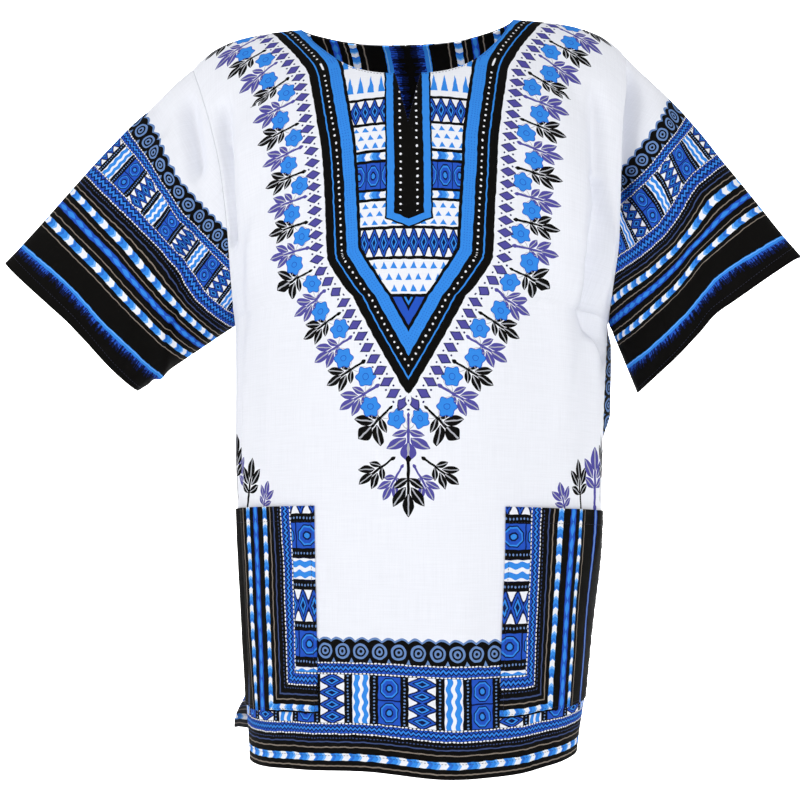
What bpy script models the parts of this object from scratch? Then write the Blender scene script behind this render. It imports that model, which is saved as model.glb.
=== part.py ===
"""A wide, short-sleeved cotton pullover shirt with a slit neck, two patch pockets and side
vents, filled out and hollow as it hangs on a wearer.

Metres, +Z up, the front towards -Y and the left sleeve at -X. The origin is the middle of the
shoulders, where the wearer carries the shirt. Every piece is a thin closed wall. A body panel is
a sheet in two directions: "side" runs from -1 at its left edge over 0 at its middle to 1 at its
right edge, and "down" is the length of cloth below the shoulder seam, negative on the back.
"""
from collections import namedtuple

import bmesh
import bpy
import numpy as np

# Cloth
WALL = 0.0014          # thickness of each cloth wall
SEAM_GAP = 0.0003      # space between two pieces at a seam, and under a piece laid on another

# Body cut, in lengths of cloth below the shoulder seam
BODY_LENGTH = 0.775
BODY_HALF_WIDTH = 0.250
UNDERARM = 0.335
VENT_LENGTH = 0.062

# Shoulders: the seam falls a little along its run and steeply at its end, as a sum of two powers
# of "side". The right one is carried higher.
SOFT_FALL, SOFT_POWER = 0.4, 2.4
END_FALL, END_POWER = 0.6, 9.0
SHOULDER_ZONE = 0.170  # how far down the cloth keeps that profile
RIGHT_LIFT = 0.006
RIGHT_LIFT_START, RIGHT_LIFT_FULL = -0.1, 0.4
RIGHT_LIFT_END = 0.120

# Armhole: half its depth from front to back, and the share of its height where it is widest
HOLE_HALF = 0.058
HOLE_WIDEST = 0.600
HOLE_POWER = 2.2       # roundness of its ends
HOLE_TOP_POWER, HOLE_FOOT_POWER = 0.8, 0.5

# Neck cut, as shares of the half width and lengths of cloth
NECK_HALF = 0.490
FRONT_NECK = 0.110
BACK_NECK = 0.046
SLIT_BOTTOM = 0.166
SLIT_HALF = 0.060
NECK_POWER, NECK_ROOT = 2.6, 0.625  # the neckline's roundness

# Side vents: how far each loose corner stands sideways and forwards at the hem
FRONT_VENT_OUT, FRONT_VENT_FORWARD = -0.003, -0.007
BACK_LEFT_VENT_OUT, BACK_RIGHT_VENT_OUT, BACK_VENT_FORWARD = 0.010, -0.003, 0.005
VENT_CORNER = 0.80     # the share of the half width where a loose corner begins

# Pockets and the facing inside the back neck
POCKET_TOP = 0.530
POCKET_BOTTOM = 0.722
POCKET_INNER = 0.360
POCKET_OUTER = 0.985
POCKET_MOUTH_EASE = 0.0020
POCKET_EASE_END = 0.5  # the share of a pocket's height where that ease ends
FACING_ROWS = 5        # rows of the back panel's mesh that the facing covers

# Sections through the body at some lengths below the shoulder seam. The middle of the front and
# of the back, the left and right edges at the armhole or side seam, and how far the cloth has
# turned round at its edge, in degrees.
Section = namedtuple(
    "Section",
    "down middle_x front_y front_z back_y back_z left_x right_x edge_z turn",
)
SECTIONS = [
    Section(0.000, -0.013, 0.000, 0.000, 0.000, 0.000, -0.229, 0.203, -0.041, 20),
    Section(0.050, -0.010, -0.043, -0.021, 0.047, -0.012, -0.216, 0.204, -0.070, 30),
    Section(0.100, -0.006, -0.081, -0.056, 0.084, -0.046, -0.203, 0.200, -0.106, 42),
    Section(0.160, -0.003, -0.111, -0.108, 0.107, -0.101, -0.191, 0.198, -0.155, 52),
    Section(0.240, 0.000, -0.131, -0.184, 0.121, -0.180, -0.184, 0.196, -0.222, 64),
    Section(0.290, 0.000, -0.137, -0.233, 0.125, -0.230, -0.183, 0.191, -0.263, 76),
    Section(0.335, 0.000, -0.140, -0.278, 0.127, -0.276, -0.184, 0.187, -0.298, 90),
    Section(0.450, 0.000, -0.142, -0.392, 0.130, -0.391, -0.185, 0.182, -0.408, 90),
    Section(0.550, 0.000, -0.141, -0.492, 0.132, -0.490, -0.182, 0.180, -0.505, 90),
    Section(0.660, 0.000, -0.140, -0.604, 0.134, -0.600, -0.177, 0.169, -0.614, 90),
    Section(0.775, 0.000, -0.139, -0.722, 0.136, -0.712, -0.171, 0.159, -0.725, 90),
]

# The hem's own waves: how much it lifts or drops at lengths across from the middle
HemPoint = namedtuple("HemPoint", "across front_lift back_lift")
HEM_WAVES = [
    HemPoint(-0.250, -0.004, 0.012),
    HemPoint(-0.190, -0.006, 0.004),
    HemPoint(-0.110, -0.001, -0.003),
    HemPoint(-0.040, 0.003, 0.003),
    HemPoint(0.040, -0.003, -0.002),
    HemPoint(0.100, -0.002, 0.004),
    HemPoint(0.170, 0.003, -0.002),
    HemPoint(0.250, 0.010, 0.002),
]
HEM_WAVES_START = 0.600

# A fold runs straight between two points of the flat cloth and fades at its ends. Depth is
# outwards for a ridge and negative for a trough.
Fold = namedtuple("Fold", "across_a down_a across_b down_b width depth")
FADE_IN, FADE_OUT = (-0.12, 0.22), (0.80, 1.15)  # in shares of a fold's run
SEAM_STILL = (0.96, 0.998)  # folds die away between these shares of the half width
SHOULDER_STILL = 0.030      # and this near the shoulder seam
HEM_FREE = 0.5              # how much of a fold the loose corners at the vents keep
FRONT_FOLDS = [
    Fold(-0.184, 0.100, -0.190, 0.260, 0.009, -0.0080),
    Fold(-0.166, 0.120, -0.168, 0.290, 0.014, 0.0045),
    Fold(-0.156, 0.220, -0.212, 0.390, 0.013, -0.0060),
    Fold(-0.216, 0.380, -0.206, 0.720, 0.009, -0.0030),
    Fold(-0.190, 0.400, -0.182, 0.700, 0.010, 0.0030),
    Fold(-0.120, 0.560, -0.126, 0.775, 0.018, -0.0035),
    Fold(0.182, 0.100, 0.182, 0.360, 0.014, -0.0120),
    Fold(0.206, 0.330, 0.214, 0.560, 0.012, 0.0040),
    Fold(0.152, 0.140, 0.158, 0.520, 0.018, 0.0050),
    Fold(0.052, 0.600, 0.048, 0.775, 0.020, 0.0035),
    Fold(0.128, 0.520, 0.136, 0.775, 0.018, -0.0040),
]
BACK_FOLDS = [
    Fold(-0.180, 0.100, -0.172, 0.330, 0.016, -0.0070),
    Fold(0.184, 0.120, 0.176, 0.350, 0.014, -0.0060),
    Fold(-0.070, 0.150, -0.050, 0.420, 0.026, -0.0040),
    Fold(0.060, 0.180, 0.084, 0.460, 0.022, -0.0045),
    Fold(-0.150, 0.380, -0.140, 0.775, 0.020, 0.0050),
    Fold(-0.096, 0.450, -0.090, 0.775, 0.018, -0.0050),
    Fold(0.020, 0.400, 0.012, 0.775, 0.024, 0.0050),
    Fold(0.118, 0.420, 0.128, 0.775, 0.020, -0.0050),
    Fold(0.190, 0.460, 0.196, 0.700, 0.014, 0.0040),
    Fold(0.222, 0.345, 0.222, 0.450, 0.016, 0.0100),
]

# The cuff of each sleeve: the two ends of its long way, its depth from front to back, where its
# middle lies in Y, and how far the sleeve bows out of a straight run.
Cuff = namedtuple("Cuff", "top_x top_z bottom_x bottom_z depth middle_y bow")
LEFT_CUFF = Cuff(-0.421, -0.236, -0.285, -0.366, 0.084, -0.008, 0.009)
RIGHT_CUFF = Cuff(0.374, -0.235, 0.215, -0.368, 0.080, -0.010, 0.009)
CUFF_POWER = 0.9       # how full the flattened ring is
SLEEVE_STILL = 0.09    # the share of a sleeve beside the armhole that its folds leave even

# Folds on a sleeve: "round" is 0 on the top line, 0.25 in the middle of the front, 0.5 below and
# -0.25 at the back. "along" is 0 at the armhole and 1 at the cuff.
SleeveFold = namedtuple("SleeveFold", "round_a along_a round_b along_b width depth")
LEFT_SLEEVE_FOLDS = [
    SleeveFold(0.05, 0.10, 0.30, 0.14, 0.010, -0.0080),
    SleeveFold(0.12, 0.24, 0.30, 0.26, 0.014, 0.0050),
    SleeveFold(0.26, 0.10, 0.42, 0.55, 0.010, -0.0060),
    SleeveFold(0.36, 0.30, 0.46, 0.90, 0.012, 0.0040),
    SleeveFold(-0.30, 0.10, -0.12, 0.20, 0.014, -0.0060),
    SleeveFold(-0.40, 0.15, -0.30, 0.70, 0.014, -0.0060),
    SleeveFold(-0.20, 0.45, -0.18, 1.00, 0.018, 0.0050),
]
RIGHT_SLEEVE_FOLDS = [
    SleeveFold(0.04, 0.09, 0.34, 0.14, 0.012, -0.0140),
    SleeveFold(0.08, 0.24, 0.36, 0.36, 0.016, 0.0100),
    SleeveFold(0.20, 0.50, 0.24, 1.00, 0.016, -0.0040),
    SleeveFold(0.30, 0.55, 0.33, 1.00, 0.014, 0.0045),
    SleeveFold(-0.34, 0.10, -0.10, 0.20, 0.014, -0.0070),
    SleeveFold(-0.38, 0.25, -0.28, 0.80, 0.014, -0.0060),
    SleeveFold(-0.18, 0.40, -0.20, 1.00, 0.018, 0.0050),
]

# Mesh
SIDE_STEPS = [
    0.0, 0.03, SLIT_HALF, 0.12, 0.18, 0.24, 0.30, POCKET_INNER, 0.42, NECK_HALF, 0.54,
    0.60, 0.66, 0.72, 0.78, 0.84, 0.90, 0.95, POCKET_OUTER, 1.0,
]
NECK_ROWS = 8          # rows that bend from the neckline to the first level one
LEVEL_ROWS = [
    0.190, 0.213, 0.236, 0.259, 0.281, 0.300, 0.315, 0.326, 0.3325, UNDERARM,
    0.375, 0.415, 0.453, 0.490, POCKET_TOP, 0.570, 0.610, 0.650, 0.690,
    BODY_LENGTH - VENT_LENGTH, POCKET_BOTTOM, 0.740, 0.7575, BODY_LENGTH,
]
SLEEVE_ROWS = 12
ARC_SAMPLES = 120      # points along a section before it is divided evenly
CUFF_SAMPLES = 8       # and round a cuff, for each point of its mesh
SHARP_ANGLE = 50       # degrees between faces that are shaded as an edge
MITRE_LIMIT = 0.35     # a wall grows no longer than its thickness over this where it is mitred

# Finish
Finish = namedtuple("Finish", "name colour roughness")
WHITE_COTTON = Finish("white_cotton", (0.86, 0.88, 0.95), 0.85)
BLUE_PRINT = Finish("blue_border_print", (0.05, 0.22, 0.62), 0.85)
NIGHT_PRINT = Finish("dark_border_print", (0.02, 0.04, 0.12), 0.85)


def smooth(knots, values, at):
    """Values through the knots on a curve that never overshoots them."""
    knots, values = np.asarray(knots, float), np.asarray(values, float)
    step = np.diff(knots)
    slope = np.diff(values) / step
    tangent = np.zeros_like(values)
    tangent[0], tangent[-1] = slope[0], slope[-1]
    same = slope[:-1] * slope[1:] > 0
    weight_a, weight_b = 2 * step[1:] + step[:-1], step[1:] + 2 * step[:-1]
    safe_a = np.where(same, slope[:-1], 1.0)
    safe_b = np.where(same, slope[1:], 1.0)
    mean = (weight_a + weight_b) / (weight_a / safe_a + weight_b / safe_b)
    tangent[1:-1] = np.where(same, mean, 0.0)
    at = np.clip(at, knots[0], knots[-1])
    k = np.clip(np.searchsorted(knots, at, side="right") - 1, 0, len(step) - 1)
    t = (at - knots[k]) / step[k]
    rise = step[k]
    return (
        (2 * t**3 - 3 * t**2 + 1) * values[k]
        + (t**3 - 2 * t**2 + t) * rise * tangent[k]
        + (3 * t**2 - 2 * t**3) * values[k + 1]
        + (t**3 - t**2) * rise * tangent[k + 1]
    )


def ramp(value, start, end):
    """0 before start, 1 after end, and an even S between."""
    t = np.clip((value - start) / (end - start), 0.0, 1.0)
    return t * t * (3 - 2 * t)


def section_values(front_field, back_field, down):
    """One column of SECTIONS, carried over the shoulder from the back to the front."""
    lower = [s for s in SECTIONS if s.down > 0]
    knots = [-s.down for s in reversed(lower)] + [s.down for s in SECTIONS]
    back = [getattr(s, back_field) for s in reversed(lower)]
    front = [getattr(s, front_field) for s in SECTIONS]
    return smooth(knots, back + front, down)


def edge_weight(side, down):
    """How much of the fall from middle to edge a point has: late at the shoulder, even below."""
    far = np.abs(side)
    shoulder = SOFT_FALL * far**SOFT_POWER + END_FALL * far**END_POWER
    late = 1 - ramp(np.abs(down), 0.0, SHOULDER_ZONE)
    return late * shoulder + (1 - late) * far**2


def armhole_half(down):
    """How far the armhole's edge stands from the shoulder line to the front or back."""
    share = np.clip(np.abs(down) / UNDERARM, 0.0, 1.0)
    above = np.clip(1 - share / HOLE_WIDEST, 0, 1)
    below = np.clip((share - HOLE_WIDEST) / (1 - HOLE_WIDEST), 0, 1)
    upper = (1 - above**HOLE_POWER) ** HOLE_TOP_POWER
    lower = (1 - below**HOLE_POWER) ** HOLE_FOOT_POWER
    return HOLE_HALF * np.where(share < HOLE_WIDEST, upper, lower)


def body_point(side, down):
    """The place and the across length of body points, before folds. Arrays of equal length."""
    middle = np.stack(
        [
            section_values("middle_x", "middle_x", down),
            section_values("front_y", "back_y", down),
            section_values("front_z", "back_z", down),
        ],
        axis=-1,
    )
    left = side < 0
    edge_x = np.where(
        left,
        section_values("left_x", "left_x", down),
        section_values("right_x", "right_x", down),
    )
    hole_y = -np.sign(down) * armhole_half(down)
    edge_z = section_values("edge_z", "edge_z", down)
    turn = np.radians(section_values("turn", "turn", down))
    share = np.linspace(0.0, 1.0, ARC_SAMPLES)
    angle = turn[:, None] * share
    x = (edge_x - middle[:, 0])[:, None] * np.sin(angle) / np.sin(turn)[:, None]
    y = (hole_y - middle[:, 1])[:, None] * (1 - np.cos(angle)) / (1 - np.cos(turn))[:, None]
    length = np.concatenate(
        [np.zeros((len(side), 1)), np.cumsum(np.hypot(np.diff(x), np.diff(y)), axis=1)], axis=1
    )
    wanted = np.abs(side) * length[:, -1]
    place = np.empty((len(side), 3))
    for k in range(len(side)):
        place[k, 0] = middle[k, 0] + np.interp(wanted[k], length[k], x[k])
        place[k, 1] = middle[k, 1] + np.interp(wanted[k], length[k], y[k])
    place[:, 2] = middle[:, 2] + (edge_z - middle[:, 2]) * edge_weight(side, down)
    near_shoulder = 1 - ramp(np.abs(down), 0.0, RIGHT_LIFT_END)
    place[:, 2] += RIGHT_LIFT * ramp(side, RIGHT_LIFT_START, RIGHT_LIFT_FULL) * near_shoulder
    return place, np.sign(side) * wanted


def fold_height(folds, across, along):
    """Height of all folds at points of the flat cloth."""
    height = np.zeros_like(across)
    for across_a, along_a, across_b, along_b, width, depth in folds:
        run_x, run_y = across_b - across_a, along_b - along_a
        length = np.hypot(run_x, run_y)
        t = ((across - across_a) * run_x + (along - along_a) * run_y) / length**2
        off = ((across - across_a) * run_y - (along - along_a) * run_x) / length
        fade = ramp(t, *FADE_IN) * (1 - ramp(t, *FADE_OUT))
        height += depth * fade * np.exp(-((off / width) ** 2))
    return height


def grid_normals(points, closed_round=False):
    """Unit normals of a grid of points, rows by columns, from the points beside each."""
    rows = np.gradient(points, axis=0)
    if closed_round:
        columns = (np.roll(points, -1, axis=1) - np.roll(points, 1, axis=1)) / 2
    else:
        columns = np.gradient(points, axis=1)
    normal = np.cross(rows, columns)
    return normal / np.linalg.norm(normal, axis=-1, keepdims=True)


def panel_side_columns():
    right = [s for s in SIDE_STEPS if s > 0]
    return np.array([-s for s in reversed(right)] + SIDE_STEPS)


def neckline(side, front):
    """How far down the neck is cut at each column, 0 where the shoulder seam begins."""
    far = np.clip(np.abs(side) / NECK_HALF, 0.0, 1.0)
    cut = (FRONT_NECK if front else BACK_NECK) * (1 - far**NECK_POWER) ** NECK_ROOT
    if not front:
        return cut
    beside = np.clip(np.abs(side) / SLIT_HALF, 0.0, 1.0)
    return np.where(beside < 1, SLIT_BOTTOM + (cut - SLIT_BOTTOM) * beside, cut)


def panel_grid(front):
    """Side and down of each grid point: upper rows follow the neckline, the rest are level."""
    side = panel_side_columns()
    top = np.maximum(neckline(side, front), SEAM_GAP / 2)
    upper = [top + (LEVEL_ROWS[0] - top) * k / NECK_ROWS for k in range(NECK_ROWS)]
    level = [np.full_like(side, row) for row in LEVEL_ROWS]
    down = np.array(upper + level)
    return np.broadcast_to(side, down.shape).copy(), down if front else -down


def vent_spread(side, down):
    """How far the loose corners at the side vents stand out of the side seam."""
    loose = ramp(np.abs(down), BODY_LENGTH - VENT_LENGTH, BODY_LENGTH)
    corner = loose * ramp(np.abs(side), VENT_CORNER, 1.0)
    front = down > 0
    back_out = np.where(side < 0, BACK_LEFT_VENT_OUT, BACK_RIGHT_VENT_OUT)
    out = np.where(front, FRONT_VENT_OUT, back_out)
    forward = np.where(front, FRONT_VENT_FORWARD, BACK_VENT_FORWARD)
    shift = np.zeros(side.shape + (3,))
    shift[..., 0] = np.sign(side) * out * corner
    shift[..., 1] = forward * corner
    return shift


def panel_surface(front, side, down):
    """The outer surface of the front or back panel with its folds, as rows by columns."""
    place, across = body_point(side.ravel(), down.ravel())
    place, across = place.reshape(side.shape + (3,)), across.reshape(side.shape)
    depth = np.abs(down)
    lift = smooth(
        [h.across for h in HEM_WAVES],
        [h.front_lift if front else h.back_lift for h in HEM_WAVES],
        across,
    )
    place[..., 2] += lift * ramp(depth, HEM_WAVES_START, BODY_LENGTH)
    outward = grid_normals(place) * (1 if front else -1)
    loose = ramp(depth, BODY_LENGTH - VENT_LENGTH, BODY_LENGTH)
    seam = 1 - ramp(np.abs(side), *SEAM_STILL) * (1 - HEM_FREE * loose)
    seam = seam * ramp(depth, 0.0, SHOULDER_STILL)
    folds = FRONT_FOLDS if front else BACK_FOLDS
    place += outward * (fold_height(folds, across, depth) * seam)[..., None]
    return place + vent_spread(side, down)


def armhole_ring(left):
    """The armhole seam as a closed ring: down the front from the shoulder, then up the back."""
    rows = NECK_ROWS + LEVEL_ROWS.index(UNDERARM)
    upper = [LEVEL_ROWS[0] * k / NECK_ROWS for k in range(NECK_ROWS)]
    down = np.array(upper + LEVEL_ROWS[: rows - NECK_ROWS + 1])
    down = np.concatenate([down, -down[-2:0:-1]])
    side = np.full(len(down), -1.0 if left else 1.0)
    return body_point(side, down)[0]


def cuff_ring(cuff, count, ring_share):
    """The cuff as a flattened ring, its points at the same shares of its length as ring_share."""
    angle = np.linspace(0.0, 2 * np.pi, CUFF_SAMPLES * count + 1)
    top = np.array([cuff.top_x, cuff.middle_y, cuff.top_z])
    bottom = np.array([cuff.bottom_x, cuff.middle_y, cuff.bottom_z])
    half_long, centre = (top - bottom) / 2, (top + bottom) / 2
    thick = np.sign(np.sin(angle)) * np.abs(np.sin(angle)) ** CUFF_POWER * cuff.depth / 2
    loop = centre + np.cos(angle)[:, None] * half_long
    loop[:, 1] -= thick
    length = np.concatenate([[0], np.cumsum(np.linalg.norm(np.diff(loop, axis=0), axis=1))])
    wanted = ring_share * length[-1]
    return np.stack([np.interp(wanted, length, loop[:, k]) for k in range(3)], axis=-1)


def sleeve_surface(left):
    """The outer surface of a sleeve, rows from armhole to cuff by columns round it."""
    cuff = LEFT_CUFF if left else RIGHT_CUFF
    ring = armhole_ring(left)
    half = len(ring) // 2
    near = np.linalg.norm(np.roll(ring, -1, axis=0) - ring, axis=1)
    front_part, back_part = np.cumsum(near[:half]), np.cumsum(near[half:])
    share = np.concatenate(
        [[0], front_part / front_part[-1] / 2, 0.5 + back_part[:-1] / back_part[-1] / 2]
    )
    end = cuff_ring(cuff, len(ring), share)
    along = np.linspace(0.0, 1.0, SLEEVE_ROWS + 1)
    run = end - ring
    length = np.linalg.norm(run, axis=1)
    t = np.repeat(along[:, None], len(ring), axis=1)
    place = ring[None] + run[None] * t[..., None]
    outward = grid_normals(place, closed_round=True) * (1 if left else -1)
    round_share = np.where(share > 0.5, share - 1, share)
    upper = np.clip(np.cos(2 * np.pi * round_share), 0.0, 1.0)
    bow = cuff.bow * np.sin(np.pi * t) * (1 - t) * upper[None, :]
    place += outward * bow[..., None]
    girth = np.linalg.norm(np.roll(place, -1, axis=1) - place, axis=-1).sum(axis=1)
    across = round_share[None, :] * girth[:, None]
    folds = LEFT_SLEEVE_FOLDS if left else RIGHT_SLEEVE_FOLDS
    mean_girth, mean_length = girth.mean(), length.mean()
    scaled = [
        (a * mean_girth, b * mean_length, c * mean_girth, d * mean_length, width, depth)
        for a, b, c, d, width, depth in folds
    ]
    height = fold_height(scaled, across, t * mean_length) * ramp(t, 0.0, SLEEVE_STILL)
    return place + outward * height[..., None]


def wall_mesh(outer, inner, closed_round=False):
    """Points and faces of a closed wall between two grids of points."""
    rows, columns = outer.shape[:2]
    total = rows * columns
    points = np.concatenate([outer.reshape(-1, 3), inner.reshape(-1, 3)])
    faces = []

    def number(row, column, layer):
        return layer * total + row * columns + column % columns

    last = columns if closed_round else columns - 1
    for row in range(rows - 1):
        for column in range(last):
            a, b = number(row, column, 0), number(row, column + 1, 0)
            c, d = number(row + 1, column + 1, 0), number(row + 1, column, 0)
            faces.append((a, d, c, b))
            faces.append((a + total, b + total, c + total, d + total))
    for column in range(last):
        for row in (0, rows - 1):
            a, b = number(row, column, 0), number(row, column + 1, 0)
            face = (a, b, b + total, a + total)
            faces.append(face if row == 0 else face[::-1])
    if not closed_round:
        for row in range(rows - 1):
            for column in (0, columns - 1):
                a, b = number(row, column, 0), number(row + 1, column, 0)
                face = (b, a, a + total, b + total)
                faces.append(face if column == 0 else face[::-1])
    return points, faces


def material(finish):
    found = bpy.data.materials.get(finish.name)
    if found:
        return found
    made = bpy.data.materials.new(finish.name)
    made.use_nodes = True
    shader = made.node_tree.nodes["Principled BSDF"]
    shader.inputs["Base Color"].default_value = finish.colour + (1.0,)
    shader.inputs["Roughness"].default_value = finish.roughness
    shader.inputs["Metallic"].default_value = 0.0
    return made


def add_piece(name, outer, inner, finish, closed_round=False):
    """One cloth piece as an object with smooth faces that point outwards."""
    points, faces = wall_mesh(outer, inner, closed_round)
    mesh = bpy.data.meshes.new(name)
    mesh.from_pydata(points.tolist(), [], faces)
    work = bmesh.new()
    work.from_mesh(mesh)
    bmesh.ops.triangulate(work, faces=work.faces)
    bmesh.ops.recalc_face_normals(work, faces=work.faces)
    work.to_mesh(mesh)
    work.free()
    mesh.shade_smooth()
    mesh.set_sharp_from_angle(angle=np.radians(SHARP_ANGLE))
    mesh.materials.append(material(finish))
    piece = bpy.data.objects.new(name, mesh)
    bpy.context.scene.collection.objects.link(piece)
    return piece


def share_wall_direction(outward, one_side, other_side):
    """Mitre the walls of the pieces on both sides of a seam alike, at one point of it."""
    normals = []
    for places in (one_side, other_side):
        total = sum(outward[name][row, column] for name, row, column in places)
        normals.append(total / np.linalg.norm(total))
    common = sum(normals) / np.linalg.norm(sum(normals))
    lean = max(float(common @ normals[0]), MITRE_LIMIT)
    for name, row, column in one_side + other_side:
        outward[name][row, column] = common / lean


def match_walls_at_seams(outward):
    """Shoulder, armhole and side seams, so that the walls on both sides face each other."""
    front, back = "front_panel", "back_panel"
    underarm_row = NECK_ROWS + LEVEL_ROWS.index(UNDERARM)
    vent_row = NECK_ROWS + LEVEL_ROWS.index(BODY_LENGTH - VENT_LENGTH)
    for column, side in enumerate(panel_side_columns()):
        if NECK_HALF <= abs(side) < 1:
            share_wall_direction(outward, [(front, 0, column)], [(back, 0, column)])
    for column, sleeve in ((0, "sleeve_left"), (-1, "sleeve_right")):
        count = outward[sleeve].shape[1]
        for row in range(underarm_row + 1):
            before, after = (sleeve, 0, row), (sleeve, 0, -row % count)
            on_front, on_back = (front, row, column), (back, row, column)
            if before == after:
                share_wall_direction(outward, [on_front, on_back], [before])
            else:
                share_wall_direction(outward, [on_front], [before])
                share_wall_direction(outward, [on_back], [after])
        for row in range(underarm_row + 1, vent_row + 1):
            share_wall_direction(outward, [(front, row, column)], [(back, row, column)])


def part_sleeve_from_body(surface, outward):
    """Move a sleeve's first ring off the armhole by the seam gap, square to its mitred wall."""
    wall = outward[0] / np.linalg.norm(outward[0], axis=1, keepdims=True)
    away = surface[1] - surface[0]
    away -= wall * (away * wall).sum(axis=1, keepdims=True)
    surface[0] += SEAM_GAP * away / np.linalg.norm(away, axis=1, keepdims=True)


def build_body_and_sleeves():
    """Front, back and sleeves, their walls turned alike where they meet."""
    surface, outward = {}, {}
    for name, front in (("front_panel", True), ("back_panel", False)):
        side, down = panel_grid(front)
        side = side * (1 - SEAM_GAP / 2 / BODY_HALF_WIDTH)
        surface[name] = panel_surface(front, side, down)
        outward[name] = grid_normals(surface[name]) * (1 if front else -1)
    for name, left in (("sleeve_left", True), ("sleeve_right", False)):
        surface[name] = sleeve_surface(left)
        outward[name] = grid_normals(surface[name], closed_round=True) * (1 if left else -1)
    match_walls_at_seams(outward)
    for name in ("sleeve_left", "sleeve_right"):
        part_sleeve_from_body(surface[name], outward[name])
    for name in surface:
        tube = name.startswith("sleeve")
        inner = surface[name] - outward[name] * WALL
        finish = BLUE_PRINT if tube else WHITE_COTTON
        add_piece(name, surface[name], inner, finish, closed_round=tube)
    return surface, outward


def build_pocket(name, left, surface, outward):
    """A patch pocket on the front panel's own points, open at its upper edge."""
    side = panel_side_columns()
    low, high = (-POCKET_OUTER, -POCKET_INNER) if left else (POCKET_INNER, POCKET_OUTER)
    columns = [k for k, s in enumerate(side) if low <= s <= high]
    first_row = NECK_ROWS + LEVEL_ROWS.index(POCKET_TOP)
    last_row = NECK_ROWS + LEVEL_ROWS.index(POCKET_BOTTOM)
    part = (slice(first_row, last_row + 1), slice(columns[0], columns[-1] + 1))
    base, out = surface[part], outward[part]
    rows, count = base.shape[:2]
    mouth = 1 - ramp(np.linspace(0, 1, rows), 0.0, POCKET_EASE_END)
    belly = np.sin(np.pi * np.linspace(0, 1, count))
    ease = SEAM_GAP + POCKET_MOUTH_EASE * mouth[:, None] * belly[None, :]
    inner = base + out * ease[..., None]
    add_piece(name, inner + out * WALL, inner, NIGHT_PRINT)


def build_neck_facing(surface, outward):
    """The facing sewn inside the back neck, on the inner points of the back panel."""
    side = panel_side_columns()
    columns = [k for k, s in enumerate(side) if abs(s) <= NECK_HALF]
    part = (slice(0, FACING_ROWS + 1), slice(columns[0], columns[-1] + 1))
    base, out = surface[part], outward[part]
    outer = base - out * (WALL + SEAM_GAP)
    add_piece("neck_facing", outer, outer - out * WALL, NIGHT_PRINT)


def main():
    for old in list(bpy.data.objects):
        bpy.data.objects.remove(old)
    surface, outward = build_body_and_sleeves()
    build_pocket("pocket_left", True, surface["front_panel"], outward["front_panel"])
    build_pocket("pocket_right", False, surface["front_panel"], outward["front_panel"])
    build_neck_facing(surface["back_panel"], outward["back_panel"])


main()
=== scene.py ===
"""The finished look of a wide cotton pullover shirt: printed cloth shells with their creases, hems
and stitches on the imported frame, a pale studio and the camera.

Metres, +Z up, the front towards -Y and the left sleeve at -X. A body panel is a sheet in two
directions: "side" runs from -1 at its left edge over 0 at its middle to 1 at its right edge, and
"down" is the length of cloth below the shoulder seam, negative on the back. Prints are drawn by
shader nodes in lengths of the flat cloth, which each piece carries in its UV maps.
"""

import math
from collections import namedtuple
from functools import partialmethod

import bmesh
import bpy
import numpy as np
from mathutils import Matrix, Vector, noise


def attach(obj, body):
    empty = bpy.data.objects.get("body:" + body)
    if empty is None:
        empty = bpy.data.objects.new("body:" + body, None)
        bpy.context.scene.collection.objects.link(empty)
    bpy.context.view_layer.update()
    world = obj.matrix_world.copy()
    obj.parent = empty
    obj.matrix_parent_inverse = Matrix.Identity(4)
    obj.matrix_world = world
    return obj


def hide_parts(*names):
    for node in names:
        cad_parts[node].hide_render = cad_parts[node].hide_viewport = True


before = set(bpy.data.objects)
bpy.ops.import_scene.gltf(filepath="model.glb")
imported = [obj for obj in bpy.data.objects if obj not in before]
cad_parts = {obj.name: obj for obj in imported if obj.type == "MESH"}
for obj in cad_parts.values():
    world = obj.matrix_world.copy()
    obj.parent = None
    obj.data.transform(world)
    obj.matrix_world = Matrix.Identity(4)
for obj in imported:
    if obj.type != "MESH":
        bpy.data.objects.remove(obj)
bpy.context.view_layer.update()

MM = 0.001
HAIR = 1e-6                # closer than this, two numbers are the same

# Cloth
WALL = 0.0012          # thickness of each cloth wall
SEAM_GAP = 0.0003      # space between two pieces at a seam, and under a piece laid on another
HEM_FOLD = 0.014       # depth of each turned hem
HEM_WALL = 0.0008      # thickness of the turned cloth
MESH_STEP = 0.0036     # longest stretch of cloth between two mesh points

# Body cut, in lengths of cloth below the shoulder seam
BODY_LENGTH = 0.775
BODY_HALF_WIDTH = 0.250
UNDERARM = 0.335
VENT_LENGTH = 0.062

# Shoulders: the seam falls a little along its run and steeply at its end, as a sum of two powers
# of "side". The right one is carried higher.
SOFT_FALL, SOFT_POWER = 0.4, 2.4
END_FALL, END_POWER = 0.6, 9.0
SHOULDER_ZONE = 0.170
RIGHT_LIFT = 0.006
RIGHT_LIFT_START, RIGHT_LIFT_FULL = -0.1, 0.4
RIGHT_LIFT_END = 0.120

# Armhole: half its depth from front to back, and the share of its height where it is widest
HOLE_HALF = 0.058
HOLE_WIDEST = 0.600
HOLE_POWER = 2.2
HOLE_TOP_POWER, HOLE_FOOT_POWER = 0.8, 0.5

# Neck cut, as shares of the half width and lengths of cloth
NECK_HALF = 0.490
FRONT_NECK = 0.110
BACK_NECK = 0.046
SLIT_BOTTOM = 0.166
SLIT_HALF = 0.060
NECK_POWER, NECK_ROOT = 2.6, 0.625

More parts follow.
